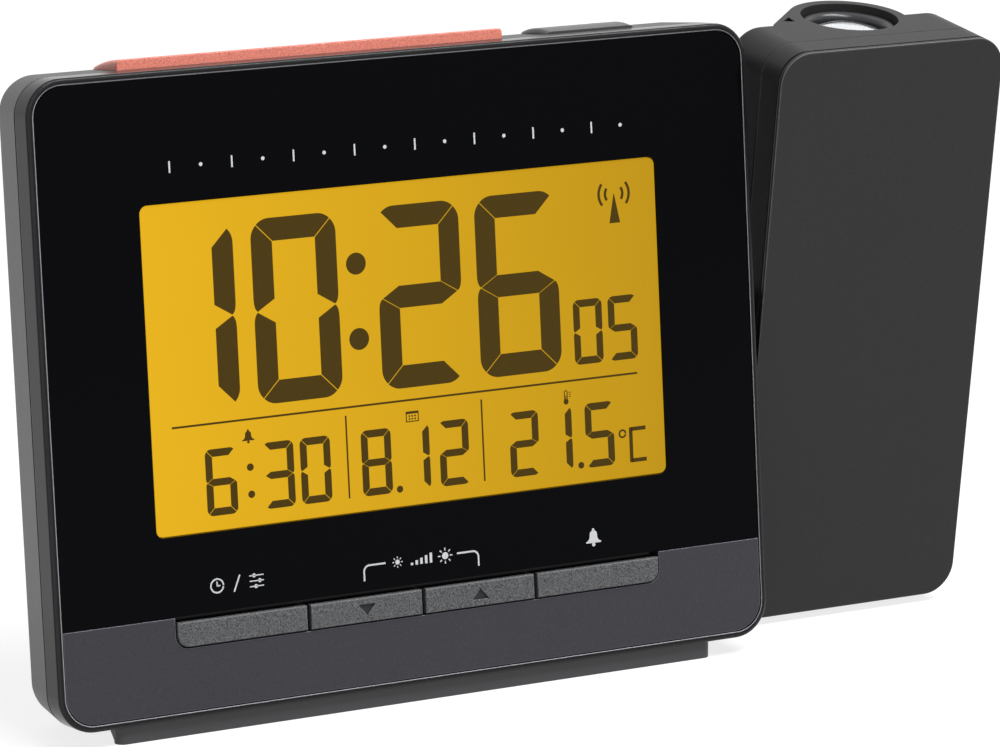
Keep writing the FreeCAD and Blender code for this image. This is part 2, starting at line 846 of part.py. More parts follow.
def back_cover():
    """The rear moulding: drafted shell, raised back with the battery bay, key and hub openings."""
    outer = drafted_body(case_width, case_height, corner_radius, frame_depth + parting_edge, case_depth,
                         side_draft, top_draft)
    outer = outer.makeFillet(back_rounding, lying_edges(outer, case_depth))
    shadow_line = centred_plate(case_width - 2 * parting_edge, case_height - 2 * parting_edge,
                                corner_radius, frame_depth, frame_depth + 2 * parting_edge)
    inner = drafted_body(case_width - 2 * wall, case_height - 2 * wall, corner_radius - wall,
                         frame_depth, inner_back, side_draft, top_draft)
    zone_half = zone_width / 2
    zone = plate(-zone_half, zone_half, zone_low, zone_high, inner_back, zone_depth, (zone_corner,) * 4)
    zone = zone.makeFillet(zone_rounding, lying_edges(zone, zone_depth))
    zone_room = plate(-zone_half + zone_wall, zone_half - zone_wall, zone_low + zone_wall,
                      zone_high - zone_wall, inner_back - beyond, zone_depth - zone_wall,
                      (zone_corner - zone_wall,) * 4)
    shell = join([outer, shadow_line, zone]).cut(inner).cut(zone_room)
    tray = box(-bay_half - bay_wall, bay_half + bay_wall, bay_front - bay_wall, door_front,
               bay_low - bay_wall, bay_high + bay_wall)
    ledge = box(-door_half - bay_wall, door_half + bay_wall, door_front - zone_wall, door_front,
                door_low - bay_wall, door_high + bay_wall)
    tubes = [rod(x, pillar_end, z, pillar_radius + pillar_socket, case_depth - pillar_end - bite)
             for x, z in mirror_pairs(pillar_x, pillar_z, -pillar_z)]
    hub_boss = rod(boss_inner_end, pivot_y, pivot_z, boss_radius, boss_length, ACROSS)
    foot_bosses = [rod(x, foot_screw_y, -top + wall / 2, foot_boss_radius, foot_boss_height, UP)
                   for x in (-foot_screw_x, foot_screw_x)]
    shelf_step = (top_board_right - top_board_left - 2 * shelf_thickness) / (shelf_count - 1)
    shelves = [box(top_board_left + i * shelf_step, top_board_left + i * shelf_step + 2 * shelf_thickness,
                   board_back + slide_gap, inner_back + beyond, top_board_z - shelf_thickness, top_board_z)
               for i in range(shelf_count)]
    shell = join([shell, tray, ledge, hub_boss] + tubes + foot_bosses + shelves)
    bay = box(-bay_half, bay_half, bay_front, zone_depth, bay_low, bay_high)
    door_room = box(-door_half - door_gap, door_half + door_gap, door_front, zone_depth + beyond,
                    door_low - door_gap, door_high + door_gap)
    scoop = rod(-door_grip_width / 2, zone_depth + scoop_radius - scoop_depth,
                door_high + door_gap + scoop_depth, scoop_radius, door_grip_width, ACROSS)
    screw_holes = [rod(x, frame_depth, z, screw_radius + screw_hole_gap, case_depth)
                   for x, z in mirror_pairs(pillar_x, pillar_z, -pillar_z)]
    head_wells = [rod(x, screw_seat, z, screw_head_radius + head_gap, case_depth)
                  for x, z in mirror_pairs(pillar_x, pillar_z, -pillar_z)]
    keys = [box(left - slide_gap, right + slide_gap, key_front - slide_gap, key_back + slide_gap,
                key_catch_high + stop_gap, top + beyond)
            for left, right in ((snooze_left, snooze_right), (projection_key_left, projection_key_right))]
    hub_hole = rod(0, pivot_y, pivot_z, hub_radius + running_gap, case_width, ACROSS)
    hub_hole = hub_hole.common(box(boss_inner_end - beyond, side + beyond, 0, case_depth, -top, top))
    foot_pilots = [rod(x, foot_screw_y, -top - beyond, screw_radius + screw_hole_gap,
                       foot_screw_depth + 2 * beyond, UP)
                   for x in (-foot_screw_x, foot_screw_x)]
    inlet_hole = rod(inlet_x, inner_back - beyond, inlet_z, inlet_nose_radius + fit_gap, wall + 2 * beyond)
    sound = upright_slots(buzzer_x, buzzer_z, sound_slots, inner_back, zone_depth + beyond)
    vents = upright_slots(sensor_x, sensor_z, vent_count, inner_back - beyond, case_depth + beyond)
    return cut_all(shell, [bay, door_room, scoop, hub_hole, inlet_hole] + screw_holes + head_wells
                   + keys + foot_pilots + sound + vents)


def case_screws():
    """Four screws in the wells of the back cover."""
    screws = []
    for x, z in mirror_pairs(pillar_x, pillar_z, -pillar_z):
        start = deck_back + screw_tip
        shank = rod(x, start, z, screw_radius, screw_seat - start + stop_gap)
        head = rod(x, screw_seat, z, screw_head_radius, screw_head)
        screws.append(join([shank, head]))
    return group(screws)


def cells():
    """Two cells side by side, turned opposite ways: (height, direction of the positive end)."""
    return [(bay_centre_z + cell_spacing / 2, 1), (bay_centre_z - cell_spacing / 2, -1)]


def battery_cells():
    """Two small round cells with their positive nubs."""
    bodies = []
    for z, way in cells():
        flat_end = -way * (bay_half - contact_thickness - leaf_radius - end_gap)
        axis = ACROSS * way
        body = rod(flat_end, cell_y, z, cell_radius, cell_length - nub_length, axis)
        body = body.makeFillet(cell_rounding, [e for e in body.Edges if e.Curve.TypeId == "Part::GeomCircle"])
        nub = rod(flat_end, cell_y, z, nub_radius, cell_length, axis)
        bodies.append(join([body, nub]))
    return group(bodies)


def contact_plate(x_wall, way, z):
    """A flat contact on the bay's end wall; way points into the bay."""
    inner_x = x_wall + way * contact_thickness
    return box(min(x_wall, inner_x), max(x_wall, inner_x), cell_y - contact_width / 2,
               cell_y + contact_width / 2, z - contact_width / 2, z + contact_width / 2)


def positive_contacts():
    """Flat plates that the cells' nubs touch."""
    return group([contact_plate(way * bay_half, -way, z) for z, way in cells()])


def negative_springs():
    """Bowed leaf springs that press on the cells' flat ends."""
    springs = []
    for z, way in cells():
        wall_x = -way * bay_half
        base = contact_plate(wall_x, way, z)
        face_x = wall_x + way * contact_thickness
        bow = tube(face_x, cell_y, z - contact_width / 2, leaf_radius, leaf_radius - contact_thickness,
                   contact_width, UP)
        keep = box(min(face_x, face_x + way * leaf_radius), max(face_x, face_x + way * leaf_radius),
                   cell_y - leaf_radius, cell_y + leaf_radius, z - contact_width, z + contact_width)
        springs.append(join([base, bow.common(keep)]))
    return group(springs)


def battery_cover():
    """Door over the cells that tips out about the round bead at its lower edge."""
    radius = door_thickness / 2
    hinge_y = zone_depth - radius
    hinge_z = door_low + radius
    leaf = box(-door_half, door_half, door_front, zone_depth, hinge_z, door_high)
    bead = rod(-door_half, hinge_y, hinge_z, radius, 2 * door_half, ACROSS)
    grips = [box(-door_grip_width / 2, door_grip_width / 2, zone_depth - stop_gap, zone_depth + grip_height,
                 door_high - grip_pitch * (i + 1) - grip_pitch / 3, door_high - grip_pitch * (i + 1))
             for i in range(grip_count)]
    return join([leaf, bead] + grips)


def friction_washer():
    """Washer between the case's hub boss and the arm's flange."""
    return tube(side + stop_gap, pivot_y, pivot_z, boss_radius, hub_radius + 2 * running_gap,
                washer_thickness, ACROSS)


def cable_connector():
    """Connector for the arm's ribbon, at the board's edge beside the hub."""
    return box(board_width / 2 - connector_size, board_width / 2, board_back, pivot_y + connector_size / 2,
               pivot_z - connector_size / 2, pivot_z + connector_size / 2)


def arm_ribbon():
    """Ribbon of wires along the swivel axis, through the hollow hub."""
    return box(board_width / 2, arm_left + 2 * arm_wall, pivot_y - ribbon_thickness / 2,
               pivot_y + ribbon_thickness / 2, pivot_z - ribbon_width / 2, pivot_z + ribbon_width / 2)


def arm_outline(y0, y1, inset=0.0):
    """A plate of the arm's outline, drawn in by an inset."""
    radius = arm_corner - inset
    return plate(arm_left + inset, arm_right - inset, -arm_top + inset, arm_top - inset, y0, y1,
                 (radius,) * 4)


def arm_screw_points():
    """Where the arm's two shells are screwed together."""
    return [(x, z) for z in (-arm_top + arm_screw_z, arm_top - arm_screw_z)
            for x in (arm_left + arm_screw_x, arm_right - arm_screw_x)]


def arm_face_plate():
    """Flat plate over the arm's front, with a crisp front edge."""
    body = arm_outline(arm_front, arm_front + face_plate)
    return body.makeFillet(face_plate_edge, lying_edges(body, arm_front))


def hub_seat():
    """The hole in the arm's left wall that the two shells close round the hub."""
    return rod(arm_left - beyond, 0, 0, hub_radius + stop_gap, arm_wall + 2 * beyond, ACROSS)


def arm_front_cover():
    """Front shell of the arm, stepped in at its front for the shadow line."""
    rim = arm_outline(cover_front, arm_parting)
    rim = rim.makeChamfer(parting_edge, lying_edges(rim, arm_parting))
    pad = arm_outline(arm_front + face_plate, cover_front + stop_gap, shadow_inset)
    hollow = arm_outline(cover_inside, arm_parting + beyond, arm_wall)
    posts = [rod(x, cover_inside - stop_gap, z, arm_post_radius, arm_parting - cover_inside + stop_gap)
             for x, z in arm_screw_points()]
    pilots = [rod(x, cover_inside, z, arm_screw_radius + screw_hole_gap, arm_depth)
              for x, z in arm_screw_points()]
    return cut_all(join([join([rim, pad]).cut(hollow)] + posts), pilots + [hub_seat()])


def bulge():
    """Round housing of the lens tube behind the arm, with a web to the arm's back on its left."""
    bottom = arm_top - bulge_length
    body = rod(lens_x, lens_axis_y, bottom, bulge_radius, bulge_length, UP)
    body = body.makeFillet(bulge_end_rounding, level_edges(body, bottom))
    foot_x = lens_x - web_reach
    foot_y = arm_back - stop_gap
    reach = math.hypot(lens_x - foot_x, lens_axis_y - foot_y)
    bearing = math.atan2(foot_y - lens_axis_y, foot_x - lens_x)
    touch = bearing - math.acos(bulge_radius / reach)
    touch_point = V(lens_x + bulge_radius * math.cos(touch), lens_axis_y + bulge_radius * math.sin(touch), 0)
    web_bottom = bottom + 2 * bulge_end_rounding
    loop = [V(foot_x, foot_y, 0), touch_point, V(lens_x, lens_axis_y, 0), V(lens_x, foot_y - arm_wall, 0),
            V(foot_x, foot_y - arm_wall, 0)]
    web = Part.Face(Part.makePolygon(loop + loop[:1])).extrude(V(0, 0, arm_top - web_bottom))
    web.translate(V(0, 0, web_bottom))
    return join([body, web])


def web_slit():
    """Three-cornered slit between the web and the lens housing, open at the top."""
    bottom = arm_top - slit_depth
    front = arm_back + slit_front
    left = V(lens_x - slit_left, front + slit_slant, bottom)
    right = V(lens_x - slit_right, front, bottom)
    tip = V(lens_x - slit_tip, arm_back + slit_back, bottom)
    return Part.Face(Part.makePolygon([left, right, tip, left])).extrude(V(0, 0, slit_depth + beyond))


def arm_rear_shell():
    """Rear shell of the arm with the lens housing, its mouth and the focus wheel's slot."""
    body = arm_outline(arm_parting, arm_back)
    body = body.makeFillet(arm_back_rounding, lying_edges(body, arm_back))
    body = body.makeChamfer(parting_edge, lying_edges(body, arm_parting))
    hollow = arm_outline(arm_parting - beyond, shell_inside, arm_wall)
    collar_bottom = arm_top - mouth_depth - collar_length
    neck = rod(lens_x, lens_axis_y, collar_bottom, bulge_radius, arm_top - collar_bottom, UP)
    posts = [rod(x, arm_parting, z, arm_post_radius + arm_socket, arm_depth - arm_front_depth - bite)
             for x, z in arm_screw_points()]
    driver_posts = [rod(x, driver_y, driver_z, driver_post_radius, shell_inside - driver_y + bite)
                    for x in (arm_centre_x - driver_width / 3, arm_centre_x + driver_width / 3)]
    inside_bulge = box(arm_left + arm_wall, arm_right - arm_wall, arm_front, shell_inside,
                       -arm_top + arm_wall, arm_top - arm_wall)
    ahead = box(arm_left, arm_right, arm_front, arm_parting, -arm_top, arm_top)
    neck = neck.common(box(arm_left, arm_right, arm_parting + bite, arm_back + bulge_radius,
                           collar_bottom, arm_top))
    shell = join([body.cut(hollow), cut_all(bulge(), [inside_bulge, ahead]), neck] + posts + driver_posts)
    mouth = Part.makeCone(barrel_radius + slide_gap, mouth_radius, mouth_depth,
                          V(lens_x, lens_axis_y, arm_top - mouth_depth), UP)
    bore = rod(lens_x, lens_axis_y, collar_bottom - beyond, barrel_radius + running_gap,
               collar_length + beyond + stop_gap, UP)
    room_bottom = tube_top - optics_length
    tube_room = rod(lens_x, lens_axis_y, room_bottom, tube_bore_radius, collar_bottom - room_bottom, UP)
    wheel_slot = rod(lens_x, lens_axis_y, wheel_bottom - wheel_slot_gap, wheel_radius + wheel_slot_gap,
                     wheel_height + 2 * wheel_slot_gap, UP)
    screw_holes = [rod(x, cover_inside, z, arm_screw_radius + screw_hole_gap, arm_depth)
                   for x, z in arm_screw_points()]
    head_wells = [rod(x, arm_screw_seat, z, arm_screw_head_radius + arm_socket, arm_depth)
                  for x, z in arm_screw_points()]
    return cut_all(shell, [mouth, bore, tube_room, wheel_slot, hub_seat(), web_slit()]
                   + screw_holes + head_wells)


def arm_screws():
    """Four screws that hold the arm's shells together."""
    screws = []
    for x, z in arm_screw_points():
        start = cover_inside + arm_screw_tip
        shank = rod(x, start, z, arm_screw_radius, arm_screw_seat - start + stop_gap)
        head = rod(x, arm_screw_seat, z, arm_screw_head_radius, arm_screw_head)
        screws.append(join([shank, head]))
    return group(screws)


def pivot_hub():
    """Hollow hub that carries the arm: flange outside, square flange inside, groove for the clip."""
    start = side - hub_reach
    square_left = arm_left + arm_wall + stop_gap
    body = rod(start, 0, 0, hub_radius, square_left + hub_key_thickness - start, ACROSS)
    flange_left = side + 2 * stop_gap + washer_thickness
    flange = rod(flange_left, 0, 0, hub_flange_radius, arm_left - stop_gap - flange_left, ACROSS)
    key = box(square_left, square_left + hub_key_thickness, -hub_key_width / 2, hub_key_width / 2,
              -hub_key_width / 2, hub_key_width / 2)
    bore = rod(start - beyond, 0, 0, hub_bore_radius, arm_width, ACROSS)
    groove_left = boss_inner_end - stop_gap - clip_thickness - stop_gap
    groove = tube(groove_left, 0, 0, hub_radius + beyond, hub_radius - clip_groove,
                  clip_thickness + 2 * stop_gap, ACROSS)
    return cut_all(join([body, flange, key]), [bore, groove])


def pivot_clip():
    """Spring clip in the hub's groove, inside the case."""
    left = boss_inner_end - stop_gap - clip_thickness
    ring = tube(left, pivot_y, pivot_z, hub_radius + clip_reach, hub_radius - clip_groove + stop_gap,
                clip_thickness, ACROSS)
    mouth = box(left - beyond, left + clip_thickness + beyond, 0, 2 * hub_radius,
                -clip_mouth / 2, clip_mouth / 2)
    mouth.translate(V(0, pivot_y, pivot_z))
    return ring.cut(mouth)


def lens_barrel():
    """Tube that carries the projection lens and slides along its axis to focus."""
    high = arm_top - barrel_top
    body = rod(lens_x, lens_axis_y, high - barrel_length, barrel_radius, barrel_length, UP)
    seat_z = arm_top - lens_rim_top - lens_rim
    bore = rod(lens_x, lens_axis_y, high - barrel_length - beyond, barrel_bore_radius,
               barrel_length + 2 * beyond, UP)
    seat = rod(lens_x, lens_axis_y, seat_z, lens_radius + lens_seat_gap, high - seat_z, UP)
    body = cut_all(body, [bore, seat])
    lip = [e for e in level_edges(body, high) if e.Curve.Radius < barrel_radius]
    return body.makeFillet(barrel_lip, lip)


def flat_backed_lens(rim_low, rim_height, radius, dome):
    """A lens on the optical axis: flat below, a short rim, and a spherical cap above it."""
    rim_high = rim_low + rim_height
    ball = (radius ** 2 + dome ** 2) / (2 * dome)
    half_out = radius / 2
    halfway = V(half_out, 0, rim_high + dome - ball + math.sqrt(ball ** 2 - half_out ** 2))
    peak = V(0, 0, rim_high + dome)
    foot = V(0, 0, rim_low)
    section = Part.Wire([Part.makeLine(foot, V(radius, 0, rim_low)),
                         Part.makeLine(V(radius, 0, rim_low), V(radius, 0, rim_high)),
                         Part.Arc(V(radius, 0, rim_high), halfway, peak).toShape(),
                         Part.makeLine(peak, foot)])
    lens = Part.Face(section).revolve(V(0, 0, 0), UP, 360)
    lens.translate(V(lens_x, lens_axis_y, 0))
    return lens


def projection_lens():
    """Front lens, domed towards the ceiling."""
    return flat_backed_lens(arm_top - lens_rim_top - lens_rim, lens_rim, lens_radius, lens_dome)


def focus_wheel():
    """Knurled wheel round the lens barrel that stands out through the slot."""
    body = tube(lens_x, lens_axis_y, wheel_bottom, wheel_radius, barrel_radius + running_gap,
                wheel_height, UP)
    grooves = []
    for i in range(wheel_groove_count):
        groove = box(wheel_radius - wheel_groove_width / 2, wheel_radius + beyond, -wheel_groove_width / 2,
                     wheel_groove_width / 2, wheel_bottom - beyond, wheel_top + beyond)
        groove.rotate(V(0, 0, 0), UP, 360 * i / wheel_groove_count)
        groove.translate(V(lens_x, lens_axis_y, 0))
        grooves.append(groove)
    return cut_all(body, grooves)


def optics_tube():
    """Tube that holds the lamp board, the condenser lens and the small picture display in line."""
    low = tube_top - optics_length
    body = tube(lens_x, lens_axis_y, low, tube_bore_radius - stop_gap, optics_bore_radius,
                optics_length, UP)
    rings = [tube(lens_x, lens_axis_y, tube_top - drop, optics_bore_radius + ring_bite,
                  optics_bore_radius - shelf_ring, shelf_ring, UP)
             for drop in (picture_drop + shelf_ring, condenser_drop + shelf_ring, led_board_drop)]
    return join([body] + rings)


def projection_lcd():
    """Small picture display in the light path."""
    half = picture_size / 2
    low = tube_top - picture_drop
    return box(lens_x - half, lens_x + half, lens_axis_y - half, lens_axis_y + half,
               low, low + picture_thickness)


def condenser_lens():
    """Flat-backed lens that gathers the lamp's light."""
    return flat_backed_lens(tube_top - condenser_drop, condenser_rim, condenser_radius, condenser_dome)


def led_board():
    """Round board of the projection lamp."""
    return rod(lens_x, lens_axis_y, tube_top - led_board_drop - led_board_thickness, led_board_radius,
               led_board_thickness, UP)


def projection_led():
    """Projection lamp with its domed lens."""
    low = tube_top - led_board_drop
    body = rod(lens_x, lens_axis_y, low, led_radius, led_length, UP)
    return body.makeFillet(led_rounding, level_edges(body, low + led_length))


def driver_board():
    """Board that drives the projector, on two posts of the rear shell."""
    return box(arm_centre_x - driver_width / 2, arm_centre_x + driver_width / 2,
               driver_y - board_thickness, driver_y,
               driver_z - driver_height / 2, driver_z + driver_height / 2)


def case_place():
    """Where the case stands: leaning back, its front lower edge on the foot's front."""
    angle = math.radians(lean)
    edge_y = foot_setback * math.cos(angle) - top * math.sin(angle)
    edge_z = -foot_setback * math.sin(angle) - top * math.cos(angle)
    shift = V(0, -foot_depth / 2 - edge_y, foot_front_height - edge_z)
    return FreeCAD.Placement(shift, FreeCAD.Rotation(ACROSS, -lean))


def arm_place():
    """Where the arm hangs on the case, tilted forward."""
    on_case = FreeCAD.Placement(V(0, pivot_y, pivot_z), FreeCAD.Rotation(ACROSS, arm_tilt))
    return case_place().multiply(on_case)


def placed(shape, placement):
    """The same shape moved and turned to its place."""
    return shape.transformed(placement.toMatrix())


def under_case(y):
    """A point (y, z) of the case's bottom, at a distance behind the case's front."""
    point = case_place().multVec(V(0, y, -top))
    return point.y, point.z


def foot_screw_places():
    """The foot's two screws stand square to the case's bottom."""
    return [(x, foot_screw_y) for x in (-foot_screw_x, foot_screw_x)]


def in_case(shape):
    """A shape that is drawn on the case, brought to its place."""
    return placed(shape, case_place())


def foot_screws():
    """Two screws from below, through the foot into the case; drawn on the case."""
    screws = []
    for x, y in foot_screw_places():
        seat = -top - foot_screw_sunk
        shank = rod(x, y, seat, screw_radius, foot_screw_depth, UP)
        head = rod(x, y, seat + stop_gap - foot_screw_head, foot_screw_head_radius, foot_screw_head, UP)
        screws.append(join([shank, head]))
    return group(screws)


def foot_plate():
    """Wedge under the case that runs on behind it as a thin plate with rounded corners."""
    front = -foot_depth / 2 + foot_lip
    angle = math.radians(lean)
    front_y = foot_setback + foot_lip / math.cos(angle)
    wedge_end_y = case_depth - back_rounding
    start = under_case(front_y)
    end = under_case(wedge_end_y)
    rear = foot_depth / 2
    side_view = [(front, 0), (front, start[1]), end, (end[0] + foot_step, foot_plate_thickness),
                 (rear - foot_rear_edge, foot_plate_thickness),
                 (rear, foot_plate_thickness - foot_rear_edge), (rear, 0)]
    half = foot_plate_width / 2
    body = profile_along_x(side_view, -half, half)
    plan = Part.makeBox(2 * half, foot_depth + foot_corner, 2 * top,
                        V(-half, -foot_depth / 2 - foot_corner, -beyond))
    plan = plan.makeFillet(foot_corner, [e for e in plan.Edges
                                         if e.BoundBox.YMin > rear - 1e-6 and e.BoundBox.XLength < 1e-6])
    body = body.common(plan)
    gusset_end = under_case(front_y + foot_gusset)
    gusset = profile_along_x([(front, 0), (front, start[1]), gusset_end],
                             -foot_width / 2 + fit_gap, foot_width / 2 - fit_gap)
    body = join([body, gusset])
    pads = [rod(x, y, -beyond, pad_radius + stop_gap, pad_thickness + beyond, UP)
            for x, y in mirror_pairs(pad_x, -pad_y, pad_y)]
    holes = [in_case(rod(x, y, -top - foot_front_height - beyond, screw_radius + screw_hole_gap,
                         foot_front_height + 2 * beyond, UP)) for x, y in foot_screw_places()]
    seat = -top - foot_screw_sunk
    wells = [in_case(rod(x, y, seat - foot_well_depth, foot_screw_head_radius + foot_well_gap,
                         foot_well_depth + stop_gap, UP)) for x, y in foot_screw_places()]
    return cut_all(body, pads + holes + wells)


def foot_lip_strip():
    """Front strip of the foot, as wide as the foot, with rounded front corners."""
    front = -foot_depth / 2
    angle = math.radians(lean)
    start = under_case(foot_setback)
    end = under_case(foot_setback + foot_lip / math.cos(angle))
    half = foot_width / 2
    body = profile_along_x([(front, 0), start, (front + foot_lip, end[1]), (front + foot_lip, 0)],
                           -half, half)
    corners = [e for e in body.Edges if e.BoundBox.YMax < front + 1e-6 and e.BoundBox.XLength < 1e-6]
    return body.makeFillet(foot_lip_corner, corners)


def rubber_pads():
    """Four round pads let into the foot's underside, level with it."""
    return group([rod(x, y, 0, pad_radius, pad_thickness, UP)
                  for x, y in mirror_pairs(pad_x, -pad_y, pad_y)])


def case_pieces():
    """Every piece drawn on the case, by name."""
    pieces = {
        "front_frame": front_frame(),
        "display_window": display_window(),
        "lower_front_panel": lower_front_panel(),
        "lcd_cell": lcd_cell(),
        "light_guide": light_guide(),
        "reflector_film": reflector_film(),
        "backlight_leds": backlight_leds(),
        "display_holder": display_holder(),
        "zebra_strip": zebra_strip(),
        "main_board": main_board(),
        "button_switches": button_switches(),
        "board_screws": board_screws(),
        "clock_chip": clock_chip(),
        "quartz_crystal": quartz_crystal(),
        "capacitors": capacitors(),
        "buzzer": buzzer(),
        "receiver_board": receiver_board(),
        "temperature_sensor": temperature_sensor(),
        "ferrite_rod": ferrite_rod(),
        "aerial_coil": aerial_coil(),
        "aerial_clips": aerial_clips(),
        "power_inlet": power_inlet(),
        "top_switch_board": top_switch_board(),
        "top_switches": top_switches(),
        "snooze_bar": snooze_bar(),
        "projection_button": projection_button(),
        "back_cover": back_cover(),
        "case_screws": case_screws(),
        "battery_cells": battery_cells(),
        "positive_contacts": positive_contacts(),
        "negative_springs": negative_springs(),
        "battery_cover": battery_cover(),
        "friction_washer": friction_washer(),
        "pivot_clip": pivot_clip(),
        "cable_connector": cable_connector(),
        "arm_ribbon": arm_ribbon(),
        "foot_screws": foot_screws(),
    }
    for name, left, right in button_row():
        pieces[name] = front_button(name, left, right)
    return pieces


def arm_pieces():
    """Every piece drawn on the arm, by name."""
    return {
        "arm_face_plate": arm_face_plate(),
        "arm_front_cover": arm_front_cover(),
        "arm_rear_shell": arm_rear_shell(),
        "arm_screws": arm_screws(),
        "pivot_hub": pivot_hub(),
        "lens_barrel": lens_barrel(),
        "projection_lens": projection_lens(),
        "focus_wheel": focus_wheel(),
        "optics_tube": optics_tube(),
        "projection_lcd": projection_lcd(),
        "condenser_lens": condenser_lens(),
        "led_board": led_board(),
        "projection_led": projection_led(),
        "driver_board": driver_board(),
    }


def table_pieces():
    """Every piece drawn on the table, by name."""
    return {
        "foot_plate": foot_plate(),
        "foot_lip_strip": foot_lip_strip(),
        "rubber_pads": rubber_pads(),
    }


def build():
    """All pieces in their places, by name."""
    pieces = {name: placed(shape, case_place()) for name, shape in case_pieces().items()}
    pieces.update({name: placed(shape, arm_place()) for name, shape in arm_pieces().items()})
    pieces.update(table_pieces())
    return pieces


os.makedirs("parts", exist_ok=True)
for node, solid in build().items():
    solid.exportStep(os.path.join("parts", node + ".step"))
    state = "valid" if solid.isValid() else "INVALID"
    print(node, len(solid.Solids), "solids", round(solid.Volume, 1), "mm3", state)
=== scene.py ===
"""Looks of the projection alarm clock: finishes, the display's picture, printed marks, studio."""
import json
import logging
import math
from dataclasses import dataclass, field
from enum import Enum
from typing import Any, Iterable, Sequence

import bpy
import numpy as np
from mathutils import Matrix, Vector


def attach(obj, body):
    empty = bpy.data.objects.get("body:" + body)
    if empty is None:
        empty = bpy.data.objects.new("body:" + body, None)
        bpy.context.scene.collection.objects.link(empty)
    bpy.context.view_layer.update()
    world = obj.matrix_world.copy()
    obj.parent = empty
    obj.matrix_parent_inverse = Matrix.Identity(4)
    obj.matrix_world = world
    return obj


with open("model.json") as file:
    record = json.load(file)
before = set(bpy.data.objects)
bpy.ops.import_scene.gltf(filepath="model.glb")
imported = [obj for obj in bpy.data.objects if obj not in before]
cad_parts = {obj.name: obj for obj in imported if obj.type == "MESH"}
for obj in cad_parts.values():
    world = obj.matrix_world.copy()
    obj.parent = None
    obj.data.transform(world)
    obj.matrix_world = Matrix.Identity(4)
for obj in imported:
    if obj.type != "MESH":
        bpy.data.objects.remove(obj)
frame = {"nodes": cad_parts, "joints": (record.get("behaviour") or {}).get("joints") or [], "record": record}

log = logging.getLogger("clock")
MM = 0.001
Edges = tuple[np.ndarray, np.ndarray]
Colour = tuple[float, float, float]

BEVEL_SAMPLES = 6
# The edge mask both smooths the roughness of edges and places a painted highlight; ROUNDING, FACING_FRONT
# and TONE_ROOM set that painted highlight.
EDGE_MASK_GAIN = 8.0  # how much a softened normal's turn away from the real one counts
ROUNDING = (0.3, 0.9)  # on a rounding of the front's rim the normal's forward part is between these
FACING_FRONT = 0.6  # a surface faces the front where the normal's forward part is larger
TONE_ROOM = 2.0  # a finish's tone is cut off above this, times the paleness of its edges
DISC_END = 0.03  # radians left off a disc's two ends, where its halves meet


# ---- shader expressions

class Value:
    """A shader socket that takes part in Python sums and products."""

    def __init__(self, shader: "Shader", socket: Any) -> None:
        """Keep the socket and the shader that it belongs to."""
        self.shader, self.socket = shader, socket

    def maths(self, operation: str, other: "Value | float", swapped: bool = False) -> "Value":
        """Add one Math node.

        Args:
            operation: name of the Math node's operation.
            other: the second operand, a socket or a number.
            swapped: True when this socket is the second operand.

        Returns:
            The node's result.
        """
        pair = (other, self) if swapped else (self, other)
        node = self.shader.add("ShaderNodeMath", {"operation": operation}, {0: pair[0], 1: pair[1]})
        return Value(self.shader, node.outputs[0])

    def __add__(self, other: "Value | float") -> "Value":
        """Sum."""
        return self.maths("ADD", other)

    def __radd__(self, other: float) -> "Value":
        """Sum with a number first."""
        return self.maths("ADD", other, True)

    def __sub__(self, other: "Value | float") -> "Value":
        """Difference."""
        return self.maths("SUBTRACT", other)

    def __rsub__(self, other: float) -> "Value":
        """Difference with a number first."""
        return self.maths("SUBTRACT", other, True)

    def __mul__(self, other: "Value | float") -> "Value":
        """Product."""
        return self.maths("MULTIPLY", other)

    def over(self, limit: float) -> "Value":
        """One where the value is above a limit, else nought."""
        return self.maths("GREATER_THAN", limit)

    def power(self, exponent: float) -> "Value":
        """The value raised to a power."""
        return self.maths("POWER", exponent)

    def clamped(self) -> "Value":
        """The value held between nought and one."""
        return self.maths("MAXIMUM", 0.0).maths("MINIMUM", 1.0)

    def swing(self, reach: float) -> "Value":
        """A noise about 0.5 as a noise about nought, that goes so far each way at most."""
        return (self - 0.5) * (2.0 * reach)


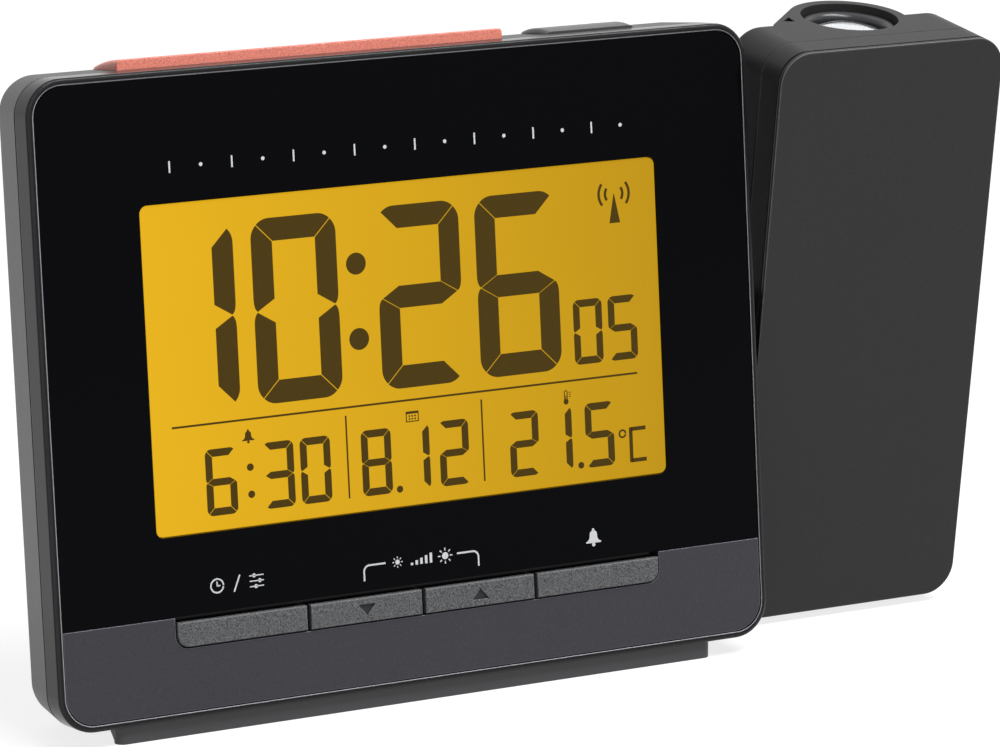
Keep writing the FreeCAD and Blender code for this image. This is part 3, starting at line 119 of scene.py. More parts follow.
class Shader:
    """A node tree, from its one shader outwards."""

    def __init__(self, owner: Any, main: str = "ShaderNodeBsdfPrincipled",
                 output: str = "ShaderNodeOutputMaterial") -> None:
        """Empty the owner's tree and join one shader to its output.

        Args:
            owner: a material or a world.
            main: Blender's name of the shader's type.
            output: Blender's name of the output's type.
        """
        owner.use_nodes = True
        self.owner, self.tree = owner, owner.node_tree
        self.tree.nodes.clear()
        self.main = self.add(main, {}, {})
        self.tree.links.new(self.main.outputs[0], self.add(output, {}, {}).inputs["Surface"])

    def add(self, kind: str, settings: dict[str, Any], inputs: dict[Any, Any]) -> Any:
        """Add any node.

        Args:
            kind: Blender's name of the node's type.
            settings: attributes that are set first.
            inputs: socket names or numbers, each with a value, a socket or a Value.

        Returns:
            The node.
        """
        node = self.tree.nodes.new(kind)
        for key, setting in settings.items():
            setattr(node, key, setting)
        for key, value in inputs.items():
            if isinstance(value, Value):
                self.tree.links.new(value.socket, node.inputs[key])
            elif isinstance(value, bpy.types.NodeSocket):
                self.tree.links.new(value, node.inputs[key])
            else:
                node.inputs[key].default_value = value
        return node

    def place(self) -> Any:
        """The surface's own coordinates, in metres."""
        return self.add("ShaderNodeTexCoord", {}, {}).outputs["Object"]

    def axes(self) -> tuple[Value, Value, Value]:
        """The three coordinates one by one."""
        split = self.add("ShaderNodeSeparateXYZ", {}, {0: self.place()})
        return tuple(Value(self, split.outputs[i]) for i in range(3))

    def shown(self) -> Value:
        """One on the rays that show a surface: from the camera, in gloss and through glass."""
        path = self.add("ShaderNodeLightPath", {}, {})
        camera, gloss, glass = (Value(self, path.outputs[f"Is {kind} Ray"])
                                for kind in ("Camera", "Glossy", "Transmission"))
        return camera.maths("MAXIMUM", gloss).maths("MAXIMUM", glass)

    def noise(self, size: float, detail: float = 2.0, rough: float = 0.5) -> Value:
        """Cloudy noise about 0.5.

        Args:
            size: width of its clouds, in metres.
            detail: how many finer layers it has.
            rough: how strong those layers are.

        Returns:
            The noise.
        """
        node = self.add("ShaderNodeTexNoise", {}, {"Vector": self.place(), "Scale": 1.0 / size,
                                                   "Detail": detail, "Roughness": rough})
        return Value(self, node.outputs["Fac"])

    def blend(self, amount: Value, low: Colour, high: Colour) -> Value:
        """A colour between two.

        Args:
            amount: nought for the first, one for the second.
            low: the first colour.
            high: the second colour.

        Returns:
            The blended colour.
        """
        settings = {"data_type": "RGBA", "clamp_result": True}
        node = self.add("ShaderNodeMix", settings, {"Factor": amount})
        colours = [s for s in node.inputs if s.type == "RGBA"]
        colours[0].default_value = (*low, 1.0)
        colours[1].default_value = (*high, 1.0)
        result = [s for s in node.outputs if s.type == "RGBA"][0]
        return Value(self, result)

    def relief(self, height: Value, depth: float, edge: float = 0.0) -> Value | None:
        """Bump the surface, and soften its sharp edges for the light.

        Args:
            height: the bump, one at its full depth.
            depth: that depth, in metres.
            edge: radius of the softened edges, in metres, or nought.

        Returns:
            One on the softened edges and nought away from them, or None without such edges.
        """
        inputs: dict[str, Any] = {"Height": height, "Distance": depth, "Strength": 1.0}
        edge_wear_and_highlight = None
        if edge:
            bevel = self.add("ShaderNodeBevel", {"samples": BEVEL_SAMPLES}, {"Radius": edge})
            soft = bevel.outputs[0]
            flat = self.add("ShaderNodeNewGeometry", {}, {}).outputs["Normal"]
            dot = self.add("ShaderNodeVectorMath", {"operation": "DOT_PRODUCT"}, {0: soft, 1: flat})
            edge_wear_and_highlight = ((1.0 - Value(self, dot.outputs["Value"])) * EDGE_MASK_GAIN).clamped()
            inputs["Normal"] = soft
        self.set("Normal", Value(self, self.add("ShaderNodeBump", {}, inputs).outputs[0]))
        return edge_wear_and_highlight

    def paint(self, colour: Colour, tone: Value, edge_wear_and_highlight: Value | None, pale: float,
              rounded: float = 0.0) -> None:
        """Set the base colour, with a painted highlight: paler edges where the surface faces the front.

        Args:
            colour: the colour at a tone of one.
            tone: a factor about one.
            edge_wear_and_highlight: one on the softened edges, or None.
            pale: how many times lighter these edges are painted, as a painted highlight.
            rounded: how strongly the roundings that turn from the front to the sides take that painted
                highlight.
        """
        # Painted highlight: edges and roundings that face the front get a lighter base colour, standing for
        # the light that catches them.
        if edge_wear_and_highlight is not None and pale > 1.0:
            side = self.add("ShaderNodeTexCoord", {}, {}).outputs["Normal"]
            split = self.add("ShaderNodeSeparateXYZ", {}, {0: side})
            front = 0.0 - Value(self, split.outputs[1])
            rounding = front.over(ROUNDING[0]) - front.over(ROUNDING[1])
            painted_highlight = (edge_wear_and_highlight * front.over(FACING_FRONT) + rounding * rounded).clamped()
            tone = tone * (1.0 + painted_highlight * (pale - 1.0))
        limit = TONE_ROOM * pale
        lightest = tuple(limit * c for c in colour)
        share = (tone * (1.0 / limit)).clamped()
        self.set("Base Color", self.blend(share, (0.0, 0.0, 0.0), lightest))

    def set(self, socket: str, value: Any) -> None:
        """Give a socket of the main shader a number, a colour or a link."""
        target = self.main.inputs[socket]
        if isinstance(value, Value):
            self.tree.links.new(value.socket, target)
        elif isinstance(value, tuple) and len(value) == 3:
            target.default_value = (*value, 1.0)
        else:
            target.default_value = value


def scaled(colour: Colour, factor: float) -> Colour:
    """A colour made lighter or darker."""
    return tuple(min(1.0, c * factor) for c in colour)


@dataclass(frozen=True)
class Moulded:
    """Moulded plastic: fine spark-eroded grain, faint clouds in its tone, edges smoothed by wear, and a
    painted highlight on front edges and roundings where pale or rounded is set.
    """
    colour: Colour
    roughness: float = 0.45
    grain: float = 0.00022
    grain_depth: float = 0.000012
    clouds: float = 0.06
    grit: float = 0.1
    specular: float = 0.25
    edge: float = 0.00012
    edge_roughness: float = 0.22
    pale: float = 1.0
    rounded: float = 0.0
    cloud_size: float = 0.012
    rough_swing: float = 0.09

    def make(self, name: str) -> bpy.types.Material:
        """Build the material under a name."""
        shader = Shader(bpy.data.materials.new(name))
        cloud = shader.noise(self.cloud_size, 3.0)
        fine = shader.noise(self.grain, 2.0, 0.6)
        edge_wear_and_highlight = shader.relief(fine, self.grain_depth, self.edge)
        tone = 1.0 + cloud.swing(self.clouds) + fine.swing(self.grit)
        # Painted highlight: pale and rounded lighten the base colour of front edges and roundings.
        shader.paint(self.colour, tone, edge_wear_and_highlight, self.pale, self.rounded)
        rough = self.roughness + fine.swing(self.rough_swing)
        if edge_wear_and_highlight is not None:
            rough = rough + (self.edge_roughness - rough) * edge_wear_and_highlight
        shader.set("Roughness", rough)
        shader.set("Specular IOR Level", self.specular)
        return shader.owner


@dataclass(frozen=True)
class Glossy:
    """Polished plastic: a deep colour, a smooth face with the faintest waviness and dust, and a painted
    highlight on front edges where pale is set.
    """
    colour: Colour
    roughness: float = 0.08
    waves: float = 0.000004
    specular: float = 0.4
    edge: float = 0.0
    pale: float = 1.0
    wave_size: float = 0.02
    dust_size: float = 0.0016
    dust_rarity: float = 6.0
    dust_tone: float = 0.8
    dust_roughness: float = 0.25

    def make(self, name: str) -> bpy.types.Material:
        """Build the material under a name."""
        shader = Shader(bpy.data.materials.new(name))
        dust = shader.noise(self.dust_size, 4.0, 0.7).power(self.dust_rarity)
        edge_wear_and_highlight = shader.relief(shader.noise(self.wave_size, 1.0), self.waves, self.edge)
        # Painted highlight: pale lightens the base colour of front edges.
        shader.paint(self.colour, 1.0 + dust * self.dust_tone, edge_wear_and_highlight, self.pale)
        shader.set("Roughness", self.roughness + dust * self.dust_roughness)
        shader.set("Specular IOR Level", self.specular)
        return shader.owner


@dataclass(frozen=True)
class LitPanel:
    """The display's lit face: amber, lighter at its left, and faintly uneven."""
    left: Colour
    right: Colour
    half_width: float = 0.043
    glow: float = 0.9
    uneven: float = 0.08
    uneven_size: float = 0.03
    unlit: float = 0.14
    roughness: float = 0.5
    grain: float = 0.0004
    rough_swing: float = 0.05

    def make(self, name: str) -> bpy.types.Material:
        """Build the material under a name."""
        shader = Shader(bpy.data.materials.new(name))
        across = shader.axes()[0]
        share = (across * (0.5 / self.half_width) + 0.5).clamped()
        uneven = shader.noise(self.uneven_size, 2.0).swing(self.uneven)
        light = shader.blend((share + uneven).clamped(), self.left, self.right)
        dull = scaled(self.left, self.unlit), scaled(self.right, self.unlit)
        shader.set("Emission Color", light)
        shader.set("Emission Strength", self.glow)
        shader.set("Base Color", shader.blend(share, *dull))
        shader.set("Roughness", self.roughness + shader.noise(self.grain).swing(self.rough_swing))
        shader.set("Specular IOR Level", 0.1)
        return shader.owner


@dataclass(frozen=True)
class Metal:
    """Plated or drawn metal, finely mottled."""
    colour: Colour
    roughness: float = 0.3
    mottle: float = 0.0003
    depth: float = 0.000006
    dark: float = 0.82
    light: float = 1.1
    rough_swing: float = 0.1

    def make(self, name: str) -> bpy.types.Material:
        """Build the material under a name."""
        shader = Shader(bpy.data.materials.new(name))
        mottle = shader.noise(self.mottle, 3.0, 0.7)
        tones = scaled(self.colour, self.dark), scaled(self.colour, self.light)
        shader.set("Base Color", shader.blend(mottle, *tones))
        shader.set("Metallic", 1.0)
        shader.set("Roughness", self.roughness + mottle.swing(self.rough_swing))
        shader.relief(mottle, self.depth)
        return shader.owner


@dataclass(frozen=True)
class ClearGlass:
    """Polished lens or clear plate with a thin coating and the faintest dust."""
    colour: Colour
    roughness: float = 0.02
    transmission: float = 1.0
    refraction: float = 1.5
    coat: float = 0.5
    dust_size: float = 0.0009
    dust_rarity: float = 5.0
    dust_roughness: float = 0.08

    def make(self, name: str) -> bpy.types.Material:
        """Build the material under a name."""
        shader = Shader(bpy.data.materials.new(name))
        dust = shader.noise(self.dust_size, 3.0).power(self.dust_rarity)
        shader.set("Base Color", self.colour)
        shader.set("Roughness", self.roughness + dust * self.dust_roughness)
        shader.set("Transmission Weight", self.transmission)
        shader.set("IOR", self.refraction)
        shader.set("Coat Weight", self.coat)
        return shader.owner


@dataclass(frozen=True)
class CircuitBoard:
    """Lacquered board with copper tracks showing through as paler lines.

    The two waves are in radians per metre, up the board and across it; a track lies where their
    crests meet, in patches.
    """
    colour: Colour
    track: Colour
    wave_up: float = 2400.0
    wave_across: float = 900.0
    crest: float = 1.2
    patch_size: float = 0.006
    depth: float = 0.00002
    roughness: float = 0.3

    def make(self, name: str) -> bpy.types.Material:
        """Build the material under a name."""
        shader = Shader(bpy.data.materials.new(name))
        across, _, up = shader.axes()
        rows = (up * self.wave_up).maths("SINE", 0.0)
        columns = (across * self.wave_across).maths("SINE", 0.0)
        patches = shader.noise(self.patch_size, 0.0).over(0.5)
        lines = (rows + columns).over(self.crest) * patches
        shader.set("Base Color", shader.blend(lines, self.colour, self.track))
        shader.set("Roughness", self.roughness + shader.noise(0.001) * 0.1)
        shader.relief(lines, self.depth)
        return shader.owner


@dataclass(frozen=True)
class InkAndShade:
    """Printed or driven mark, also used as painted shade in the screws' cross recesses: matt, with slightly
    uneven cover.
    """
    colour: Colour
    glow: float = 0.0
    specular: float = 0.2
    cover_size: float = 0.0008
    unevenness: float = 0.08
    roughness: float = 0.5
    rough_swing: float = 0.05

    def make(self, name: str) -> bpy.types.Material:
        """Build the material under a name."""
        shader = Shader(bpy.data.materials.new(name))
        cover = shader.noise(self.cover_size, 2.0)
        thin = scaled(self.colour, 1.0 - self.unevenness)
        tint = shader.blend(cover, thin, scaled(self.colour, 1.0 + self.unevenness))
        shader.set("Base Color", tint)
        shader.set("Emission Color", tint)
        shader.set("Emission Strength", self.glow)
        shader.set("Roughness", self.roughness + cover.swing(self.rough_swing))
        shader.set("Specular IOR Level", self.specular)
        return shader.owner


# Where pale is above one, and with rounded, a finish paints a highlight into its base colour: the frame's
# ridge, the panel's, buttons' and foot's front edges, the arm plate's rounding.
FINISHES: dict[str, Any] = {
    "case_black": Moulded((0.028, 0.028, 0.027), 0.42, grain=0.0003, specular=0.3),
    "frame_black": Glossy((0.006, 0.006, 0.0065), 0.18, specular=0.16, edge=0.0003, pale=95.0),
    "foot_black": Moulded((0.058, 0.058, 0.062), 0.45, specular=0.35, edge=0.0002, pale=2.0),
    "door_black": Moulded((0.026, 0.026, 0.026), 0.45, grain=0.0003, specular=0.3),
    "window_black": Glossy((0.0022, 0.0023, 0.003), 0.1, specular=0.025),
    "panel_grey": Moulded((0.027, 0.0268, 0.0345), 0.4, grain=0.00025, grit=0.5, specular=0.35,
                          edge=0.00022, pale=7.0),
    "button_grey": Moulded((0.08, 0.082, 0.086), 0.5, grain_depth=0.00003, grit=2.2,
                           specular=0.4, edge=0.00022, pale=2.0),
    "snooze_red": Moulded((0.95, 0.28, 0.21), 0.35, grain_depth=0.00003, grit=0.9,
                          specular=0.5, edge=0.0004),
    "key_grey": Moulded((0.05, 0.05, 0.053), 0.35, specular=0.5),
    "lcd_amber": LitPanel((0.77, 0.43, 0.009), (0.5, 0.28, 0.005)),
    "clear_plastic": ClearGlass((0.93, 0.93, 0.9), 0.05, 0.8),
    "white_film": Moulded((0.8, 0.8, 0.78), 0.5),
    "amber_led": Glossy((0.8, 0.4, 0.05)),
    "circuit_green": CircuitBoard((0.012, 0.12, 0.045), (0.05, 0.25, 0.1)),
    "component_black": Moulded((0.02, 0.02, 0.02), 0.5),
    "connector_white": Moulded((0.7, 0.7, 0.65), 0.45),
    "steel": Metal((0.6, 0.6, 0.62)),
    "copper": Metal((0.72, 0.36, 0.2), 0.35),
    "ferrite_grey": Moulded((0.05, 0.048, 0.045), 0.6, grain_depth=0.00003),
    "rubber_black": Moulded((0.02, 0.02, 0.02), 0.75, grain_depth=0.00003),
    "cell_label": Glossy((0.12, 0.14, 0.17), 0.25),
    "nylon_white": Moulded((0.62, 0.62, 0.58), 0.5),
    "ribbon_grey": Moulded((0.35, 0.35, 0.37), 0.5),
    "arm_dark": Moulded((0.0125, 0.0125, 0.0127), 0.5, grain=0.0003, grit=0.7, specular=0.3,
                        edge=0.0003, pale=9.0, rounded=1.0),
    "arm_black": Moulded((0.019, 0.019, 0.019), 0.42, grain=0.0003, specular=0.15, edge=0.0002),
    "barrel_black": Glossy((0.012, 0.0125, 0.016), 0.3, specular=0.5, edge=0.0002),
    "lens_glass": ClearGlass((0.93, 0.96, 1.0)),
}


# ---- surfaces

@dataclass(frozen=True)
class Seat:
    """Where a part of the clock stands: its upright axes, leant back and moved, in mm."""
    lean: float
    shift: tuple[float, float, float]

    def place(self, points: np.ndarray) -> np.ndarray:
        """Carry points to the model's frame.

        A point (x, y, z) goes to (x, y cos a + z sin a, z cos a - y sin a) plus the shift.

        Args:
            points: an n by 3 array in millimetres.

        Returns:
            The points in metres.
        """
        angle = math.radians(self.lean)
        x, y, z = points.T
        turned = np.stack([x, y * math.cos(angle) + z * math.sin(angle),
                           z * math.cos(angle) - y * math.sin(angle)], axis=1)
        return (turned + np.array(self.shift)) * MM


@dataclass
class Piece:
    """A visual piece, gathered from slabs and made into one mesh."""
    name: str
    seat: Seat
    corners: list[np.ndarray] = field(default_factory=list)
    faces: list[np.ndarray] = field(default_factory=list)

    def slab(self, edges: Edges, front: float, back: float) -> None:
        """Add a thin slab between two edges.

        Station i is a ring of four corners: a_i and b_i at the front, b_i and a_i at the back. The
        slab's skin joins each ring to the next, and its ends are capped.

        Args:
            edges: two n by 2 arrays of (x, z), walked the same way.
            front: the slab's front y.
            back: its back y.
        """
        a, b = edges
        n = len(a)
        ring = np.empty((n, 4, 3))
        ring[:, 0, ::2], ring[:, 1, ::2], ring[:, 2, ::2], ring[:, 3, ::2] = a, b, b, a
        ring[:, :2, 1], ring[:, 2:, 1] = front, back
        here = np.arange(n - 1)[:, None] * 4
        there = here + 4
        side = np.arange(4)[None, :]
        after = (side + 1) % 4
        skin = np.stack([here + side, here + after, there + after, there + side], axis=2)
        last = 4 * n - 4
        caps = np.array([[0, 3, 2, 1], [last, last + 1, last + 2, last + 3]])
        quads = np.concatenate([skin.reshape(-1, 4), caps])
        points = ring.reshape(-1, 3)
        first, second, third, fourth = (points[quads[:, i]] for i in range(4))
        volume = np.sum(np.cross(first, second) * third) + np.sum(np.cross(first, third) * fourth)
        if volume < 0:
            quads = quads[:, ::-1]
        offset = sum(len(c) for c in self.corners)
        self.corners.append(points)
        self.faces.append(quads + offset)

    def make(self, body: str, material: bpy.types.Material, slot: str) -> bpy.types.Object:
        """Turn the slabs into one object.

        Args:
            body: the moving body that it rides on.
            material: its finish.
            slot: the record's slot that the finish is nearest to; not used.

        Returns:
            The object.
        """
        points = self.seat.place(np.concatenate(self.corners))
        quads = np.concatenate(self.faces)
        mesh = bpy.data.meshes.new(self.name)
        mesh.from_pydata(points.tolist(), [], quads.tolist())
        mesh.materials.append(material)
        mesh.update()
        piece = bpy.data.objects.new(self.name, mesh)
        bpy.context.scene.collection.objects.link(piece)
        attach(piece, body)
        log.info("%s: %d faces on %s", self.name, len(quads), body)
        return piece


def line(start: Sequence[float], end: Sequence[float], width: float) -> Edges:
    """The two edges of a straight stroke of even width."""
    a, b = np.array(start, float), np.array(end, float)
    along = (b - a) / np.linalg.norm(b - a)
    aside = np.array([-along[1], along[0]]) * width / 2
    return np.array([a + aside, b + aside]), np.array([a - aside, b - aside])


def arc(centre: Sequence[float], radius: float, width: float, start: float, end: float,
        steps: int = 24) -> Edges:
    """The two edges of a stroke bent round a centre, between two angles in degrees."""
    angles = np.radians(np.linspace(start, end, steps))
    ray = np.stack([np.cos(angles), np.sin(angles)], axis=1)
    middle = np.array(centre)
    return middle + ray * (radius + width / 2), middle + ray * (radius - width / 2)


def disc(centre: Sequence[float], radius: float, steps: int = 24) -> Edges:
    """A disc as a strip from its left end to its right end, between its upper and lower halves."""
    angles = np.linspace(DISC_END, math.pi - DISC_END, steps)
    x, rise = centre[0] - np.cos(angles) * radius, np.sin(angles) * radius
    return np.stack([x, centre[1] + rise], axis=1), np.stack([x, centre[1] - rise], axis=1)


def moved(edges: Edges, x: float, z: float) -> Edges:
    """Edges moved aside and up."""
    step = np.array([x, z])
    return edges[0] + step, edges[1] + step


class Bar(Enum):
    """The seven bars of a numeral, clockwise from the top, then the middle one."""
    TOP = "a"
    UPPER_RIGHT = "b"
    LOWER_RIGHT = "c"
    BOTTOM = "d"
    LOWER_LEFT = "e"
    UPPER_LEFT = "f"
    MIDDLE = "g"


LIT_BARS: dict[str, str] = {
    "0": "abcdef", "1": "bc", "2": "abged", "3": "abgcd", "4": "fgbc",
    "5": "afgcd", "6": "afgedc", "7": "abc", "8": "abcdefg", "9": "abcdfg",
}


@dataclass(frozen=True)
class Numeral:
    """A seven-bar numeral with mitred, rounded corners; its origin is its lower left corner."""
    width: float
    height: float
    stroke: float
    corner: float
    gap: float
    tip: float
    mitre: float = 0.7
    bend_steps: int = 8
    shoulder_steps: int = 6
    shoulder_start: float = 0.55
    shoulder_pull: float = 0.12

    def top_bar(self) -> Edges:
        """The top bar: outer edge round both corners to their mitres, straight inner edge."""
        w, h, t, r, g = self.width, self.height, self.stroke, self.corner, self.gap * self.mitre
        bend = np.radians(np.linspace(135, 90, self.bend_steps))
        left = np.stack([r + r * np.cos(bend) + g, h - r + r * np.sin(bend)], axis=1)
        right = np.stack([w - left[::-1, 0], left[::-1, 1]], axis=1)
        outer = np.concatenate([left, right])
        along = np.linspace(t + g, w - t - g, len(outer))
        return outer, np.stack([along, np.full(len(outer), h - t)], axis=1)

    def upper_left_bar(self) -> Edges:
        """The upper left bar: from its mitre round the corner and down to a tip by the middle."""
        h, t, r, g = self.height, self.stroke, self.corner, self.gap * self.mitre
        bend = np.radians(np.linspace(135, 180, self.bend_steps))
        corner = np.stack([r + r * np.cos(bend), h - r + r * np.sin(bend) - g], axis=1)
        low = h / 2 + self.gap / 2
        share = np.linspace(0, 1, self.shoulder_steps)[:, None]
        start = np.array([0, low + t * self.shoulder_start])
        pull = np.array([0, low + t * self.shoulder_pull])
        end = np.array([self.tip, low])
        shoulder = (1 - share) ** 2 * start + 2 * share * (1 - share) * pull + share ** 2 * end
        outer = np.concatenate([corner, shoulder])
        inner = np.stack([np.full(len(outer), t),
                          np.linspace(h - t - g, h / 2 + t / 2 + g * 0.6, len(outer))], axis=1)
        return outer, inner

    def middle_bar(self) -> Edges:
        """The middle bar: six-sided, with a tip at each end."""
        w, t, g = self.width, self.stroke, self.gap
        x = np.array([self.tip + g, t, w - t, w - self.tip - g])
        point, full = 0.02, 0.5 * t - 0.3 * g
        rise = np.array([point, full, full, point])
        middle = self.height / 2
        return np.stack([x, middle + rise], axis=1), np.stack([x, middle - rise], axis=1)

    def flipped(self, edges: Edges, across: bool, over: bool) -> Edges:
        """Edges mirrored left to right, top to bottom, or both."""
        def turn(points: np.ndarray) -> np.ndarray:
            """Mirror one edge."""
            x = self.width - points[:, 0] if across else points[:, 0]
            z = self.height - points[:, 1] if over else points[:, 1]
            return np.stack([x, z], axis=1)
        return turn(edges[0]), turn(edges[1])

    def bar(self, which: Bar) -> Edges:
        """The edges of one bar."""
        if which is Bar.MIDDLE:
            return self.middle_bar()
        if which in (Bar.TOP, Bar.BOTTOM):
            return self.flipped(self.top_bar(), False, which is Bar.BOTTOM)
        right = which in (Bar.UPPER_RIGHT, Bar.LOWER_RIGHT)
        low = which in (Bar.LOWER_LEFT, Bar.LOWER_RIGHT)
        return self.flipped(self.upper_left_bar(), right, low)

    def write(self, figure: str, x: float, z: float) -> list[Edges]:
        """The lit bars of one figure, with the numeral's lower left corner at (x, z)."""
        return [moved(self.bar(Bar(letter)), x, z) for letter in LIT_BARS[figure]]


@dataclass(frozen=True)
class Symbols:
    """Plain pictograms, each a list of strokes about a centre; size is about half the height."""

    def bell(self, x: float, z: float, s: float) -> list[Edges]:
        """A bell: a round dome that flares with the cube of the way down; rim, clapper, knob."""
        down = np.linspace(0.01, 1, 26)
        dome = 0.46 * np.sqrt(np.clip(1 - (1 - down / 0.4) ** 2, 0, 1))
        flare = 0.46 + 0.34 * ((down - 0.4) / 0.6) ** 3
        half = s * np.where(down < 0.4, dome, flare)
        level = z + s * (0.72 - 1.2 * down)
        body = np.stack([x - half, level], axis=1), np.stack([x + half, level], axis=1)
        return [body, line((x - s * 0.92, z - s * 0.56), (x + s * 0.92, z - s * 0.56), s * 0.18),
                disc((x, z - s * 0.84), s * 0.2), disc((x, z + s * 0.8), s * 0.15)]

    def calendar(self, x: float, z: float, s: float) -> list[Edges]:
        """A calendar leaf: frame, heading bar and two rows of dots."""
        w, thick = s * 1.05, s * 0.16
        strokes = [line((x - w, z - s * 0.8), (x + w, z - s * 0.8), thick),
                   line((x - w, z + s * 0.6), (x + w, z + s * 0.6), s * 0.4),
                   line((x - w, z - s * 0.85), (x - w, z + s * 0.75), thick),
                   line((x + w, z - s * 0.85), (x + w, z + s * 0.75), thick)]
        places = [(x + dx * s * 0.5, z + dz * s) for dx in (-1, 0, 1) for dz in (0.05, -0.4)]
        return strokes + [disc(place, s * 0.15) for place in places]

    def thermometer(self, x: float, z: float, s: float) -> list[Edges]:
        """A thermometer: tube with a round top, bulb, and three scale lines."""
        tube = [arc((x, z + s * 0.8), s * 0.24, s * 0.14, 0, 180, 10),
                line((x - s * 0.24, z - s * 0.35), (x - s * 0.24, z + s * 0.8), s * 0.14),
                line((x + s * 0.24, z - s * 0.35), (x + s * 0.24, z + s * 0.8), s * 0.14),
                disc((x, z - s * 0.65), s * 0.42),
                line((x, z - s * 0.5), (x, z + s * 0.3), s * 0.16)]
        levels = [z + s * rise for rise in (0.1, 0.42, 0.74)]
        return tube + [line((x + s * 0.5, up), (x + s * 0.85, up), s * 0.12) for up in levels]

    def mast(self, x: float, z: float) -> list[Edges]:
        """A radio mast: a slim triangle under two pairs of arcs."""
        tip, foot, height = 0.04, 0.92, 4.4
        sides = [np.array([[x + side * tip, z], [x + side * foot, z - height]]) for side in (-1, 1)]
        waves = [arc((x, z), radius, 0.42, start, start + 2 * spread, 14)
                 for radius, spread in ((1.5, 36), (2.6, 38)) for start in (-spread, 180 - spread)]
        return [(sides[0], sides[1])] + waves

    def lamp(self, x: float, z: float, s: float) -> list[Edges]:
        """A brightness sign: a disc within eight short rays."""
        centre, strokes = np.array([x, z]), [disc((x, z), s * 0.44)]
        for turn in np.radians(np.arange(0, 360, 45)):
            ray = np.array([math.cos(turn), math.sin(turn)])
            strokes.append(line(centre + ray * s * 0.66, centre + ray * s, s * 0.16))
        return strokes

    def sliders(self, x: float, z: float, s: float) -> list[Edges]:
        """A settings sign: three level lines, each with a knob."""
        rows = [(0.7, -0.35), (0.0, 0.45), (-0.7, -0.1)]
        strokes = [line((x - s, z + s * row), (x + s, z + s * row), s * 0.14) for row, _ in rows]
        return strokes + [disc((x + s * knob, z + s * row), s * 0.26) for row, knob in rows]

    def dial(self, x: float, z: float, s: float) -> list[Edges]:
        """A clock face with two hands."""
        return [arc((x, z), s * 0.88, s * 0.2, 0, 352, 30),
                line((x, z - s * 0.05), (x, z + s * 0.55), s * 0.18),
                line((x - s * 0.05, z), (x + s * 0.42, z), s * 0.18)]


@dataclass
class DisplayPicture:
    """The dark picture on the lit display: time, seconds, alarm, date and temperature."""
    seat: Seat
    ink_and_shade: bpy.types.Material
    face: float = 0.3
    lift: float = 0.03
    big: Numeral = Numeral(13.8, 27.2, 3.4, 2.9, 0.14, 0.6)
    small: Numeral = Numeral(4.95, 9.8, 1.12, 0.9, 0.09, 0.22)
    time_low: float = -2.65
    seconds_low: float = -2.25
    row_low: float = -18.05

    def draw(self, name: str, strokes: Iterable[Edges]) -> None:
        """Lay strokes on the display's face as one piece."""
        piece = Piece(name, self.seat)
        for edges in strokes:
            piece.slab(edges, self.face - self.lift, self.face)
        piece.make("case", self.ink_and_shade, "lcd_amber")

    def row(self, numeral: Numeral, text: str, places: Sequence[float], low: float) -> list[Edges]:
        """Figures in a row.

        Args:
            numeral: their size.
            text: the figures.
            places: each figure's left end.
            low: the row's lower end.

        Returns:
            The bars of all of them.
        """
        return [bar for figure, x in zip(text, places) for bar in numeral.write(figure, x, low)]

    def build(self) -> None:
        """Draw every group of figures and signs."""
        signs = Symbols()
        time = self.row(self.big, "1026", (-42.0, -25.3, -4.9, 11.6), self.time_low)
        time += [disc(place, 1.62, 40) for place in ((-8.4, 16.55), (-8.45, 5.4))]
        self.draw("time_figures", time)
        seconds = self.row(self.small, "05", (27.65, 33.65), self.seconds_low)
        self.draw("seconds_figures", seconds)
        alarm = self.row(self.small, "630", (-34.4, -25.05, -19.05), self.row_low)
        self.draw("alarm_figures", alarm + [disc((-27.2, z), 0.55) for z in (-11.55, -15.55)])
        date = self.row(self.small, "812", (-9.0, -2.6, 4.0), self.row_low)
        self.draw("date_figures", date + [disc((-2.9, -17.6), 0.52)])
        heat = self.row(self.small, "215", (15.9, 21.65, 28.9), self.row_low)
        unit = [arc((35.3, -13.5), 0.54, 0.28, 0, 350, 24),
                line((36.75, -12.95), (39.35, -12.95), 0.6),
                line((36.75, -12.7), (36.75, -18.0), 0.6),
                line((36.75, -17.75), (39.35, -17.75), 0.6)]
        self.draw("heat_figures", heat + [disc((27.95, -17.5), 0.5)] + unit)
        rules = [line((-39.4, -4.5), (38.3, -4.5), 0.3), line((-11.3, -5.7), (-11.3, -18.0), 0.26),
                 line((11.37, -5.7), (11.37, -18.0), 0.26)]
        self.draw("display_rules", rules)
        self.draw("display_signs", signs.mast(35.5, 23.0) + signs.bell(-27.3, -6.95, 1.05)
                  + signs.calendar(-0.3, -6.95, 0.95) + signs.thermometer(25.8, -6.95, 1.0))


